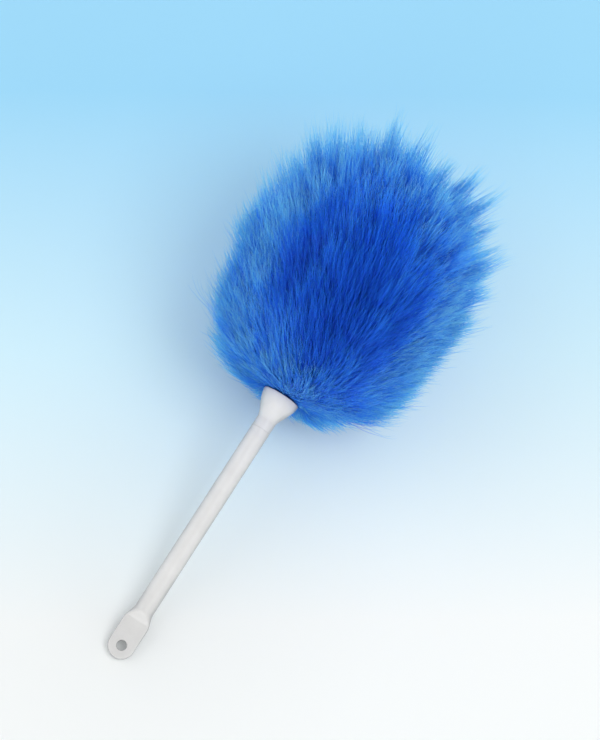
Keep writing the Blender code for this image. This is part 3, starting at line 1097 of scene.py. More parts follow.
@dataclass(frozen=True)
class LockSet:
    """One depth of the pile: how many locks it has and what they are like.

    Reach is the share of the way out at which tips end, and polar the angles from the crown, in
    degrees, between which they stand.
    """

    depth: Depth
    locks: int
    strands: int
    steps: int
    reach: Range
    polar: Range
    radius: float
    root_spread: float = 0.0050
    tip_spread: float = 0.0070
    stagger: float = 0.15
    frizz: float = 0.0018
    wave: float = 0.0006


@dataclass(frozen=True)
class Combing:
    """How far the wool is combed away from the axis on one side of the ball.

    Each row holds an angle between the crown and the place of a tip, then the lean of the wool's
    middle and the lean of its tip there, all in degrees.
    """

    rows: tuple[Triple, ...]

    def leans(self, polar: np.ndarray) -> np.ndarray:
        """Give the leans of middle and tip, in radians, at angles from the crown in degrees."""
        places, middle, tip = np.array(self.rows).T
        return np.radians([np.interp(polar, places, middle), np.interp(polar, places, tip)])


@dataclass(frozen=True)
class Tuft:
    """A tall tuft at the crown's outline.

    Its turn is an angle from the axis in degrees, in the plane that the photograph shows, and
    grows to the right. Its length starts at the pile's middle, and its width is an angle too.
    """

    turn: float
    length: float
    width: float = 6.0


@dataclass
class Places:
    """Where the locks of a set stand on the ball, one row a lock.

    Aims start at the pile's middle, and polar is their angle from the crown in degrees. Crown,
    left and right are shares, and seen is 1 where a lock faces the viewer and -1 behind.
    """

    aims: np.ndarray
    polar: np.ndarray
    turn: np.ndarray
    crown: np.ndarray
    left: np.ndarray
    right: np.ndarray
    seen: np.ndarray


@dataclass
class Bundles:
    """The larger tufts that the locks gather into, and a cloud of tone that drifts over them."""

    cores: np.ndarray
    reach: np.ndarray
    tone: np.ndarray
    waves: np.ndarray
    phases: np.ndarray


@dataclass
class Guides:
    """The middle lines of a set's locks, in the duster's own axes, one row a lock."""

    points: np.ndarray
    side: np.ndarray
    across: np.ndarray
    turn: np.ndarray
    start: np.ndarray
    tone: np.ndarray
    gather: np.ndarray
    ragged: np.ndarray

    def at(self, shares: np.ndarray) -> np.ndarray:
        """Give the points of each guide at its row of shares."""
        t = shares[..., None]
        p0, p1, p2, p3 = (self.points[:, corner, None, None, :] for corner in range(4))
        return (1 - t) ** 3 * p0 + 3 * (1 - t) ** 2 * t * p1 + 3 * (1 - t) * t**2 * p2 + t**3 * p3


@dataclass
class Strands:
    """Strands of wool as middle lines with radii, one row a strand."""

    lines: np.ndarray
    radii: np.ndarray
    side: np.ndarray
    tone: np.ndarray
    turn: np.ndarray

    @property
    def triangles(self) -> int:
        """How many triangles the strands' tubes have."""
        return len(self.lines) * (2 * Tubes.sides * (self.lines.shape[1] - 1) - 2)

    def chosen(self, rows: np.ndarray) -> "Strands":
        """Give the strands of some rows."""
        return Strands(*(getattr(self, part.name)[rows] for part in fields(self)))


@dataclass
class LockToneAndPaintedLight:
    """How bright each lock is, from 0 to 1: tone that differs at random, with painted light on the flanks,
    the crown, the left side, the underside and the lower rim, and painted shade on the face that looks up
    towards the viewer.
    """

    base: float = 0.25
    # Painted light and shade: the flanks lighter than the face that looks up towards the viewer.
    flank_gain: float = 0.60
    flank_zone: Zone = (0.37, 0.60)
    # Painted light on the underside.
    under_gain: float = 0.75
    under_width: float = 0.4
    cloud_gain: float = 0.04
    jitter: float = 0.02
    # Painted light on the left side and on the crown.
    left_gain: float = 0.03
    crown_gain: float = 0.08
    # Painted light on the lower rim.
    foot_gain: float = 0.20
    foot_zone: Zone = (-0.55, 0.45)
    foot_end: float = 0.5
    foot_width: float = 0.6
    streak_gain: float = 0.12
    streak_zone: Zone = (30, 50)
    streak_turns: tuple[int, int] = (9, 30)
    streak_sway: float = 1.2
    streaks: int = 14
    streak_seed: int = 31
    limits: Range = (0.02, 0.98)

    def fan(self, places: Places) -> np.ndarray:
        """Give a fan of lighter and darker streaks that run from the collar to the crown.

        Args:
            places: Where the locks stand.

        Returns:
            How light each lock is in the fan.
        """
        rng = np.random.default_rng(self.streak_seed)
        waves = rng.integers(*self.streak_turns, self.streaks)
        sway = rng.normal(0, self.streak_sway, self.streaks)
        phase = rng.uniform(0, math.tau, self.streaks)
        angle = places.turn[:, None] * waves + np.radians(places.polar)[:, None] * sway + phase
        return np.sin(angle).sum(axis=1) * math.sqrt(2 / self.streaks)

    def paint(
        self,
        places: Places,
        tips: np.ndarray,
        bundles: Bundles,
        nearest: np.ndarray,
        rng: np.random.Generator,
    ) -> np.ndarray:
        """Give the tones of a set's locks, with their painted light and shade.

        Args:
            places: Where the locks stand.
            tips: Where they end.
            bundles: The larger tufts.
            nearest: Number of each lock's larger tuft.
            rng: Source of the random draws.

        Returns:
            The tones.
        """
        aims = places.aims
        cloud = np.sin(tips @ bundles.waves.T + bundles.phases).sum(axis=1)
        cloud = cloud / math.sqrt(len(bundles.phases))
        # Painted light and shade: locks that point level or downwards are lighter, and those that point up
        # towards the viewer darker.
        painted_flank_light = ease(np.hypot(aims[:, 0], aims[:, 1]), *self.flank_zone)
        painted_flank_light = np.maximum(painted_flank_light, self.under_gain * ease(-aims[:, 2], 0.0, self.under_width))
        tone = self.base + self.flank_gain * painted_flank_light + self.cloud_gain * cloud + bundles.tone[nearest]
        tone += rng.normal(0, self.jitter, len(tone))
        # Painted light: the flanks of the left side and the crown are lighter.
        tone += self.left_gain * places.left * painted_flank_light + self.crown_gain * places.crown
        # Painted light on the lower rim: locks near the foot that are seen edge-on or from behind are
        # lighter.
        edge = ease(-places.seen, *self.foot_zone)
        edge = edge * ease(self.foot_end - aims[:, 0] / self.foot_width)
        tone += self.foot_gain * edge
        tone += self.streak_gain * self.fan(places) * ease(places.polar, *self.streak_zone)
        return np.clip(tone, *self.limits)


@dataclass
class Growth:
    """How strands grow round the middle lines of their locks."""

    stagger_power: float = 1.4
    late_start: float = 0.05
    least_share: float = 0.1
    tip_range: Range = (0.55, 1.35)
    tip_scatter: float = 0.38
    gather_zone: Zone = (0.25, 0.75)
    open_width: float = 0.35
    crimp: float = 0.0004
    crimp_cycles: Range = (1.2, 2.6)
    wave_cycles: float = 0.9
    wave_width: float = 0.5
    thick_spread: float = 0.18
    taper: float = 2.4
    tip_radius: float = 0.00002
    tone_jitter: float = 0.04
    brightest: float = 0.985

    def offsets(
        self, group: LockSet, guides: Guides, spots: np.ndarray, share: np.ndarray, rng: np.random.Generator
    ) -> np.ndarray:
        """Give the strands' ways aside from their guides.

        Args:
            group: The set of locks.
            guides: The locks' middle lines.
            spots: Shares of the guide at the points of each strand.
            share: Shares of a strand at its points.
            rng: Source of the random draws.

        Returns:
            Two lengths for each point, along the guides' side and across.
        """
        shape = spots.shape[:2]
        angle = rng.uniform(0, math.tau, shape)
        disc = np.sqrt(rng.random(shape))
        root = np.stack([disc * np.cos(angle), disc * np.sin(angle)], axis=-1) * group.root_spread
        gather = rng.uniform(*self.tip_range, (len(spots), 1, 1)) * group.tip_spread
        gather = gather * guides.gather[:, None, None]
        tip = root / group.root_spread * gather + rng.normal(0, self.tip_scatter, root.shape) * gather
        pull = ease(spots, *self.gather_zone)[..., None]
        offset = root[..., None, :] * (1 - pull) + tip[..., None, :] * pull
        if group.depth is Depth.RIM:
            offset = offset * ease(spots, 0.0, self.open_width)[..., None]
        drift = rng.normal(0, group.frizz, (*shape, 2))[..., None, :] * (share**2)[:, None]
        phase = rng.uniform(0, math.tau, (*shape, 1, 2))
        cycles = rng.uniform(*self.crimp_cycles, (*shape, 1, 1))
        crimp = self.crimp * np.sin(math.tau * cycles * share[:, None] + phase) * share[:, None]
        lock_phase = rng.uniform(0, math.tau, (len(spots), 1, 1, 2))
        wave = group.wave * np.sin(math.tau * self.wave_cycles * spots[..., None] + lock_phase)
        return offset + drift + crimp + wave * ease(spots, 0.0, self.wave_width)[..., None]

    def grow(self, group: LockSet, guides: Guides, rng: np.random.Generator) -> Strands:
        """Grow the strands of a set round its guides.

        Args:
            group: The set of locks.
            guides: The locks' middle lines.
            rng: Source of the random draws.

        Returns:
            The strands.
        """
        shape = (group.locks, group.strands)
        rows = group.locks * group.strands
        share = np.linspace(0, 1, group.steps + 1)
        stop = 1 - group.stagger * guides.ragged[:, None] * rng.random(shape) ** self.stagger_power
        start = np.broadcast_to(guides.start[:, None], shape)
        start = start + self.late_start * rng.random(shape) * (start > 0)
        start = np.minimum(start, stop - self.least_share)
        spots = start[..., None] + (stop - start)[..., None] * share
        offset = self.offsets(group, guides, spots, share, rng)
        lines = guides.at(spots)
        lines = lines + offset[..., :1] * guides.side[:, None, None, :]
        lines = lines + offset[..., 1:] * guides.across[:, None, None, :]
        thick = group.radius * np.exp(rng.normal(0, self.thick_spread, shape))[..., None]
        radii = thick * (1 - share**self.taper) + self.tip_radius
        tone = guides.tone[:, None] + rng.normal(0, self.tone_jitter, shape)
        return Strands(
            lines=lines.reshape(rows, -1, 3),
            radii=radii.reshape(rows, -1),
            side=np.repeat(guides.across, group.strands, axis=0),
            tone=np.clip(tone, 0.0, self.brightest).reshape(rows),
            turn=np.repeat(guides.turn, group.strands),
        )


@dataclass
class Tubes:
    """Closed tubes that end in a point, with their bake map.

    The map's first axis holds a strand's tone, and its second the share of its length. Each
    corner round a tube stands a small step beside the last, so that no face of the map is flat.
    """

    sides: int = 3
    corner_step: float = 0.0035
    tones: Range = (0.002, 0.985)
    map_foot: float = 0.004
    map_run: float = 0.992

    def corners(self, strands: Strands) -> np.ndarray:
        """Give each tube's corners, ring by ring, and its point.

        Args:
            strands: The strands.

        Returns:
            The corners, one row a strand.
        """
        lines = strands.lines
        heading = unit(np.gradient(lines, axis=1))
        out = unit(np.cross(heading, strands.side[:, None, :]))
        other = np.cross(heading, out)
        angles = math.tau * np.arange(self.sides) / self.sides
        ring = out[:, :-1, None, :] * np.cos(angles)[:, None]
        ring = ring + other[:, :-1, None, :] * np.sin(angles)[:, None]
        ring = lines[:, :-1, None, :] + ring * strands.radii[:, :-1, None, None]
        return np.concatenate([ring.reshape(len(lines), -1, 3), lines[:, -1:]], axis=1)

    def faces(self, rings: int) -> Faces:
        """Give the faces of one tube: its walls, its point and its foot.

        Args:
            rings: How many rings of corners the tube has.

        Returns:
            The faces.
        """
        after = [(side + 1) % self.sides for side in range(self.sides)]
        low = range(0, self.sides * (rings - 1), self.sides)
        walls = [
            (foot + side, foot + after[side], foot + self.sides + after[side], foot + self.sides + side)
            for foot in low
            for side in range(self.sides)
        ]
        last = self.sides * (rings - 1)
        ends = [(last + side, last + after[side], last + self.sides) for side in range(self.sides)]
        return walls + ends + [tuple(reversed(range(self.sides)))]

    def mesh(self, name: str, strands: Strands) -> bpy.types.Mesh:
        """Make the mesh of some strands.

        Args:
            name: Its name.
            strands: The strands.

        Returns:
            The mesh.
        """
        corners = self.corners(strands)
        count, size = corners.shape[:2]
        rings = strands.lines.shape[1] - 1
        faces = self.faces(rings)
        pattern = np.array([corner for face in faces for corner in face])
        loops = (pattern[None, :] + np.arange(count)[:, None] * size).ravel()
        totals = np.array([len(face) for face in faces])
        starts = np.concatenate([[0], np.cumsum(np.tile(totals, count))[:-1]])

        mesh = bpy.data.meshes.new(name)
        mesh.vertices.add(count * size)
        mesh.vertices.foreach_set("co", corners.astype(np.float32).ravel())
        mesh.loops.add(len(loops))
        mesh.loops.foreach_set("vertex_index", loops.astype(np.int32))
        mesh.polygons.add(len(starts))
        mesh.polygons.foreach_set("loop_start", starts.astype(np.int32))
        mesh.update(calc_edges=True)
        mesh.shade_smooth()

        across = np.append(np.tile(np.arange(self.sides), rings), (self.sides - 1) / 2)
        across = across * self.corner_step
        along = np.append(np.repeat(np.arange(rings), self.sides), rings) / rings
        spots = np.empty((count, size, 2), np.float32)
        spots[..., 0] = np.clip(strands.tone[:, None], *self.tones) + across
        spots[..., 1] = self.map_foot + self.map_run * along
        bake = mesh.uv_layers.new(name=BAKE_MAP)
        bake.uv.foreach_set("vector", spots.reshape(-1, 2)[loops].ravel())
        return mesh


@dataclass
class WoolPile:
    """The ball of dyed lambswool: locks of strands that fan from the rod and lean to the tip.

    A gain lengthens the wool by its angle from the crown. That angle is in degrees in all tables
    and in the zones of crown, rim and lift. The other zones are of a sine or a cosine.
    """

    middle: float = 0.0775
    hide_radius: float = 0.0056
    hide_edge: float = 25
    fringe: float = 0.0020
    far_out: float = 0.3
    relief_share: float = 0.6
    neighbours: int = 24
    place_jitter: float = 0.22
    core_jitter: float = 0.25
    bundles: int = 280
    bundle_reach: float = 0.0034
    bundle_tone: float = 0.035
    bundle_pull: float = 0.16
    bundle_swell: float = 0.0010
    bundle_edge: float = 1.4
    flank_reach: float = 0.35
    cloud_waves: int = 10
    cloud_scale: float = 45
    spiky_share: float = 0.35
    smooth_reach: float = 0.4
    smooth_loss: float = 0.004
    crown_zone: Zone = (60, 25)
    crown_pull: float = 0.34
    crown_swell: float = 0.0050
    crown_gather: float = 0.45
    crown_rag: float = 2.4
    crests: int = 96
    crest_pull: float = 0.30
    crest_share: float = 0.45
    crest_swell: float = 0.0070
    crest_edge: float = 1.3
    crest_power: float = 1.5
    tufts: tuple[Tuft, ...] = (
        Tuft(-45.0, 0.104),
        Tuft(-37.5, 0.109),
        Tuft(-28.0, 0.105),
        Tuft(-17.0, 0.118, 8.0),
        Tuft(-5.0, 0.117, 7.0),
        Tuft(5.0, 0.106),
        Tuft(15.0, 0.117, 7.0),
        Tuft(24.5, 0.115, 7.0),
        Tuft(33.0, 0.101),
        Tuft(41.0, 0.100),
        Tuft(49.0, 0.088),
        Tuft(58.0, 0.089),
    )
    tuft_tilt: float = math.radians(9.3)
    tuft_pull: float = 0.60
    tuft_power: float = 0.8
    tuft_gather: float = 0.25
    facing_zone: Zone = (0.15, 0.4)
    facing_loss: float = 0.75
    reach_jitter: float = 0.0010
    side_zone: Zone = (0.3, 0.5)
    crown_gain: Profile = ((0, 0.012), (25, 0.014), (45, 0.0165), (65, 0.0105), (80, 0.004), (95, 0.0))
    left_gain: Profile = (
        (20, 0.0), (31, -0.004), (42, 0.006), (55, 0.002), (80, 0.0),
        (105, -0.0045), (122, -0.0045), (136, -0.0010), (150, -0.0040), (165, -0.002),
    )
    right_gain: Profile = (
        (30, 0.0), (47, -0.003), (57, 0.002), (70, -0.001), (105, 0.0),
        (120, 0.002), (128, -0.001), (137, -0.005), (150, 0.0),
    )
    root_table: Profile = (
        (0, 0.1095), (25, 0.107), (50, 0.076), (90, 0.042), (120, 0.017), (150, 0.0045), (165, 0.0012),
    )
    root_jitter: float = 0.0016
    rim_zone: Zone = (120, 40)
    rim_root: float = 0.0025
    face: Combing = Combing(
        ((0, 0, 0), (25, 22, 20), (56, 42, 40), (90, 44, 44), (120, 52, 54), (150, 74, 78), (180, 70, 112))
    )
    left: Combing = Combing(
        ((0, 0, 0), (25, 25, 20), (56, 52, 44), (90, 58, 40), (120, 62, 42), (150, 75, 65), (180, 70, 112))
    )
    right: Combing = Combing(
        ((0, 0, 0), (25, 20, 24), (56, 35, 46), (90, 28, 52), (120, 30, 60), (150, 60, 90), (180, 70, 112))
    )
    face_skew: float = math.radians(22)
    skew_fade: float = math.radians(70)
    lean_jitter: float = math.radians(7)
    middle_arm: float = 0.38
    tip_arm: float = 0.22
    front_lift: float = 0.0045
    front_zone: Zone = (0.2, 0.6)
    lift_zone: Zone = (138, 14)
    samples: int = 41
    hidden_share: float = 0.9
    latest_start: float = 0.85
    lip_radius: float = 0.0135
    lip_gap: float = 0.0003
    lip_layer: float = 0.0030
    lip_soft: float = 0.0010
    lip_zone: Zone = (-0.1, 0.5)
    droop: float = 0.0050
    droop_width: float = 0.008
    rest_layer: float = 0.0004
    rest_scatter: float = 2.5
    rest_soft: float = 0.004
    splay: float = 0.5
    largest_piece: int = 188_000
    seed: int = 29
    set_seeds: int = 100
    tone: LockToneAndPaintedLight = field(default_factory=LockToneAndPaintedLight)
    growth: Growth = field(default_factory=Growth)

    sets: tuple[LockSet, ...] = (
        LockSet(Depth.SURFACE, 3000, 20, 7, (0.975, 1.02), (0, 168), 0.00010),
        LockSet(Depth.MIDDLE, 1000, 14, 7, (0.86, 0.97), (0, 165), 0.00012, frizz=0.0016),
        LockSet(Depth.DEEP, 500, 12, 6, (0.72, 0.86), (0, 160), 0.00012),
        LockSet(
            Depth.RIM,
            locks=140,
            strands=14,
            steps=7,
            reach=(0.9, 1.0),
            polar=(161, 171),
            radius=0.00009,
            root_spread=0.0016,
            tip_spread=0.0010,
            stagger=0.3,
            frizz=0.0010,
            wave=0.0005,
        ),
        LockSet(
            Depth.STRAY,
            locks=2000,
            strands=1,
            steps=9,
            reach=(0.98, 1.03),
            polar=(0, 150),
            radius=0.00005,
            tip_spread=0.0050,
            frizz=0.0024,
            wave=0.0012,
        ),
    )

    def gather(self) -> Bundles:
        """Draw the larger tufts, which are the same for all sets.

        Returns:
            The tufts.
        """
        cores = self.cores(self.bundles, self.seed)
        rng = np.random.default_rng(self.seed + 1)
        return Bundles(
            cores=cores,
            reach=rng.normal(0, self.bundle_reach, len(cores)),
            tone=rng.normal(0, self.bundle_tone, len(cores)),
            waves=rng.normal(0, self.cloud_scale, (self.cloud_waves, 3)),
            phases=rng.uniform(0, math.tau, self.cloud_waves),
        )

    def cores(self, count: int, seed: int) -> np.ndarray:
        """Spread the middles of larger tufts over the ball."""
        return spread_out(count, (1.0, -1.0), self.core_jitter, np.random.default_rng(seed))

    def places(self, group: LockSet, rng: np.random.Generator) -> Places:
        """Spread the locks of a set over the ball.

        Args:
            group: The set of locks.
            rng: Source of the random draws.

        Returns:
            Their places.
        """
        low, high = (math.cos(math.radians(angle)) for angle in group.polar)
        first_turn = rng.uniform(0, math.tau)
        aims = spread_out(group.locks, (low, high), self.place_jitter, rng, first_turn)
        polar = np.degrees(np.arccos(np.clip(aims[:, 0], -1, 1)))
        turn = np.arctan2(aims[:, 2], aims[:, 1])
        return Places(
            aims=aims,
            polar=polar,
            turn=turn,
            crown=1 - ease(polar, *self.crown_zone),
            left=ease(np.cos(turn), *self.side_zone),
            right=ease(-np.cos(turn), *self.side_zone),
            seen=aims @ np.array([-math.sin(self.tuft_tilt), 0.0, math.cos(self.tuft_tilt)]),
        )

    def envelope(self, directions: np.ndarray, lie: Lie) -> np.ndarray:
        """Find how far the solid pile reaches, with its lumps partly evened out.

        Args:
            directions: Directions from the pile's middle.
            lie: Where the duster lies.

        Returns:
            The reach in each direction.
        """
        solid = frame["nodes"][Node.WOOL_PILE.value].data
        inverse = lie.matrix.inverted()
        corners = [inverse @ corner.co for corner in solid.vertices]
        tree = BVHTree.FromPolygons(corners, [tuple(face.vertices) for face in solid.polygons])
        centre = Vector((self.middle, 0, 0))
        reach = np.zeros(len(directions))
        for row, direction in enumerate(directions):
            outward = Vector(direction)
            hit = tree.ray_cast(centre + self.far_out * outward, -outward)[0]
            reach[row] = (hit - centre).length if hit else 0.0
        near = np.argsort(-(directions @ directions.T), axis=1)[:, : self.neighbours]
        even = reach[near].mean(axis=1)
        return even + self.relief_share * (reach - even) + self.fringe

    def nearest_tufts(self, aims: np.ndarray) -> tuple[np.ndarray, np.ndarray, np.ndarray]:
        """Find the tall tuft that each lock is nearest to.

        Args:
            aims: Directions of the locks from the pile's middle.

        Returns:
            The tufts' directions, their lengths, and how much each lock belongs to its tuft.
        """
        turns, lengths, widths = np.array([(tuft.turn, tuft.length, tuft.width) for tuft in self.tufts]).T
        turns = np.radians(turns)
        ahead = np.cos(turns)
        cores = [ahead * math.cos(self.tuft_tilt), -np.sin(turns), ahead * math.sin(self.tuft_tilt)]
        cores = np.stack(cores, axis=1)
        apart = np.degrees(np.arccos(np.clip(aims @ cores.T, -1, 1))) / widths
        nearest = np.argmin(apart, axis=1)
        return cores[nearest], lengths[nearest], np.clip(1 - apart.min(axis=1), 0, 1)

    def tips(
        self, group: LockSet, lie: Lie, places: Places, bundles: Bundles, rng: np.random.Generator
    ) -> tuple[np.ndarray, np.ndarray, np.ndarray]:
        """Place the tips of a set's locks, gathered into tufts.

        Args:
            group: The set of locks.
            lie: Where the duster lies.
            places: Where the locks stand.
            bundles: The larger tufts.
            rng: Source of the random draws.

        Returns:
            The tips, how much a tall tuft holds each, and the number of its larger tuft.
        """
        aims, polar, crown = places.aims, places.polar, places.crown
        count = len(aims)
        nearest, gap = nearest_core(aims, bundles.cores)
        spiky = rng.random(count) < self.spiky_share
        calm = 1 - self.facing_loss * ease(places.seen, *self.facing_zone)
        swell = self.bundle_swell + self.crown_swell * crown * calm
        swell = swell * (0.5 - np.minimum(gap, self.bundle_edge) ** 2)
        reach = bundles.reach[nearest]
        swell += reach * (self.flank_reach + (1 - self.flank_reach) * crown)
        swell = np.where(spiky, swell, (self.smooth_reach * reach - self.smooth_loss) * crown)
        peaks = self.cores(self.crests, self.seed + 3)
        summit, apart = nearest_core(aims, peaks)
        crested = crown * calm * (rng.random(count) < self.crest_share)
        swell += self.crest_swell * crested * (0.5 - np.minimum(apart, self.crest_edge) ** self.crest_power)
        swell += rng.normal(0, self.reach_jitter, count)
        swell += (1 + calm) / 2 * read_off(self.crown_gain, polar)
        swell += places.left * read_off(self.left_gain, polar)
        swell += places.right * read_off(self.right_gain, polar)

        pull = (self.bundle_pull + self.crown_pull * crown * calm * spiky)[:, None]
        drawn = pull * (bundles.cores[nearest] - aims)
        drawn += self.crest_pull * crested[:, None] * (peaks[summit] - aims)
        tuft, tuft_length, belonging = self.nearest_tufts(aims)
        held = ease(2 * belonging)[:, None]
        pulled = unit(aims + (1 - held) * drawn + self.tuft_pull * held * (tuft - aims))
        share = rng.uniform(*group.reach, count)
        length = self.envelope(aims, lie) * share + swell
        length += belonging**self.tuft_power * np.maximum(tuft_length * share - length, 0.0)
        tips = pulled * length[:, None]
        facing = ease(np.sin(places.turn), *self.front_zone) * ease(polar, *self.lift_zone)
        tips[:, 0] += self.middle
        tips[:, 0] += self.front_lift * facing
        return tips, held[:, 0], nearest

    def roots(self, places: Places, rng: np.random.Generator) -> np.ndarray:
        """Place the roots of locks on the hide.

        Args:
            places: Where the locks stand.
            rng: Source of the random draws.

        Returns:
            The roots.
        """
        near_rim = ease(places.polar, *self.rim_zone)
        off = self.hide_radius * np.clip(places.polar / self.hide_edge, 0, 1) + self.rim_root * near_rim
        station = read_off(self.root_table, places.polar)
        station = station + rng.normal(0, self.root_jitter, len(off)) * (1 - near_rim)
        return np.stack([station, np.cos(places.turn) * off, np.sin(places.turn) * off], axis=1)

    @staticmethod
    def heading(lean: np.ndarray, turn: np.ndarray) -> np.ndarray:
        """Give directions that lean away from the axis at turns round it."""
        parts = [np.cos(lean), np.sin(lean) * np.cos(turn), np.sin(lean) * np.sin(turn)]
        return np.stack(parts, axis=1)

    def ways(self, places: Places, rng: np.random.Generator) -> tuple[np.ndarray, np.ndarray]:
        """Comb the locks of a set.

        Args:
            places: Where the locks stand.
            rng: Source of the random draws.

        Returns:
            The ways that their middles and their tips lie.
        """
        polar, turn, count = places.polar, places.turn, len(places.turn)
        leans = self.face.leans(polar) * (1 - places.left - places.right)
        leans += self.left.leans(polar) * places.left + self.right.leans(polar) * places.right
        away = np.abs(turn - math.pi / 2)
        away = np.minimum(away, math.tau - away)
        swing = turn - self.face_skew * (1 - ease(away, 0.0, self.skew_fade))
        middle = self.heading(leans[0] + rng.normal(0, self.lean_jitter / 2, count), swing)
        swing = swing + rng.normal(0, self.lean_jitter, count)
        return middle, self.heading(leans[1] + rng.normal(0, self.lean_jitter, count), swing)

    def starts(self, guides: Guides, under: Underfur) -> np.ndarray:
        """Find where guides come out of the underfur.

        Args:
            guides: The guides.
            under: The underfur.

        Returns:
            The share of each guide that stays hidden.
        """
        samples = np.linspace(0, 1, self.samples)
        line = guides.at(np.broadcast_to(samples, (len(guides.turn), 1, self.samples)))[:, 0]
        inside = np.hypot(line[..., 1], line[..., 2]) < self.hidden_share * under.radius(line[..., 0])
        last_in = self.samples - 1 - np.argmax(inside[:, ::-1], axis=1)
        return np.minimum(np.where(inside.any(axis=1), samples[last_in], 0.0), self.latest_start)

    def guides(
        self, group: LockSet, lie: Lie, under: Underfur, bundles: Bundles, rng: np.random.Generator
    ) -> Guides:
        """Draw the middle line of each lock of a set.

        Args:
            group: The set of locks.
            lie: Where the duster lies.
            under: The underfur that the locks come out of.
            bundles: The larger tufts.
            rng: Source of the random draws.

        Returns:
            The guides.
        """
        places = self.places(group, rng)
        tips, held, nearest = self.tips(group, lie, places, bundles, rng)
        roots = self.roots(places, rng)
        middle_way, tip_way = self.ways(places, rng)
        length = np.linalg.norm(tips - roots, axis=1)[:, None]
        third = tips - self.tip_arm * length * tip_way
        second = third - self.middle_arm * length * middle_way
        level = np.zeros(len(tips))
        across = np.stack([level, -np.sin(places.turn), np.cos(places.turn)], axis=1)
        made = Guides(
            points=np.stack([roots, second, third, tips], axis=1),
            side=unit(np.cross(tip_way, across)),
            across=across,
            turn=places.turn,
            start=level,
            tone=self.tone.paint(places, tips, bundles, nearest, rng),
            gather=(1 - self.crown_gather * places.crown) * (1 - self.tuft_gather * held),
            ragged=1 + self.crown_rag * places.crown,
        )
        made.start = self.starts(made, under)
        return made

    def clear_collar(self, strands: Strands, rng: np.random.Generator) -> None:
        """Keep the wool off the collar's lip, which it only passes beside the lip's flanks.

        Args:
            strands: The strands, which are moved.
            rng: Source of the random draws.
        """
        across = np.hypot(strands.lines[..., 1], strands.lines[..., 2])
        facing = ease(np.sin(strands.turn), *self.lip_zone)[:, None]
        droop = self.droop * ease(across, self.lip_radius, self.droop_width) * (1 - facing)
        lowest = self.lip_gap + self.lip_layer * rng.random(len(across))[:, None] - droop
        over = (strands.lines[..., 0] - lowest) / self.lip_soft
        strands.lines[..., 0] = lowest + self.lip_soft * np.logaddexp(0, over)

    def rest_on_table(self, strands: Strands, lie: Lie, rng: np.random.Generator) -> None:
        """Lay down what would reach under the table, and let it splay from the middle.

        Args:
            strands: The strands, which are moved.
            lie: Where the duster lies.
            rng: Source of the random draws.
        """
        up = lie.turn[2]
        layer = self.rest_layer * (1 + self.rest_scatter * rng.random(len(strands.lines)))[:, None]
        lift = lifted(lie.heights(strands.lines), layer, self.rest_soft)[..., None]
        strands.lines += lift * up
        level = np.array([self.middle, 0, 0]) - strands.lines
        level -= (level @ up)[..., None] * up
        strands.lines -= self.splay * lift * unit(level)

    def build(self, lie: Lie, under: Underfur, finish: bpy.types.Material) -> list[bpy.types.Object]:
        """Grow all locks and share them out over pieces, each a gore of the ball.

        Args:
            lie: Where the duster lies.
            under: The underfur that the locks come out of.
            finish: The fibres' material.

        Returns:
            The pieces.
        """
        bundles, tubes, pieces = self.gather(), Tubes(), []
        for number, group in enumerate(self.sets, 1):
            rng = np.random.default_rng(self.seed + self.set_seeds * number)
            guides = self.guides(group, lie, under, bundles, rng)
            strands = self.growth.grow(group, guides, rng)
            self.clear_collar(strands, rng)
            self.rest_on_table(strands, lie, rng)
            parts = math.ceil(strands.triangles / self.largest_piece)
            order = np.argsort(strands.turn, kind="stable")
            for part, rows in enumerate(np.array_split(order, parts), 1):
                name = f"{group.depth.value}_locks_{part:02d}"
                mesh = tubes.mesh(name, strands.chosen(rows))
                pieces.append(lie.carry(name, mesh, finish, Node.WOOL_PILE))
        return pieces


@dataclass
class InnerParts:
    """The rod, the hide and the steel inside the wool, which keep their own solids."""

    timber: DowelWood = DowelWood("pale_dowel_wood")
    hide: SheepskinHide = SheepskinHide("tanned_sheepskin")
    steel: SteelWire = SteelWire("bright_steel_wire")

    def dress(self, lie: Lie) -> None:
        """Give each inner solid its finish.

        Args:
            lie: Where the duster lies.
        """
        timber, hide, steel = self.timber.make(lie), self.hide.make(lie), self.steel.make(lie)
        worn = {
            Node.CORE_ROD: timber,
            Node.HIDE_STRIP: hide,
            Node.CROWN_PATCH: hide,
            Node.CROWN_TACK: steel,
            Node.LOWER_STAPLE: steel,
            Node.UPPER_STAPLE: steel,
        }
        for node, finish in worn.items():
            solid = frame["nodes"][node.value]
            solid.data.materials.clear()
            solid.data.materials.append(finish)
            LOG.info("%s: finished in %s", node.value, finish.name)


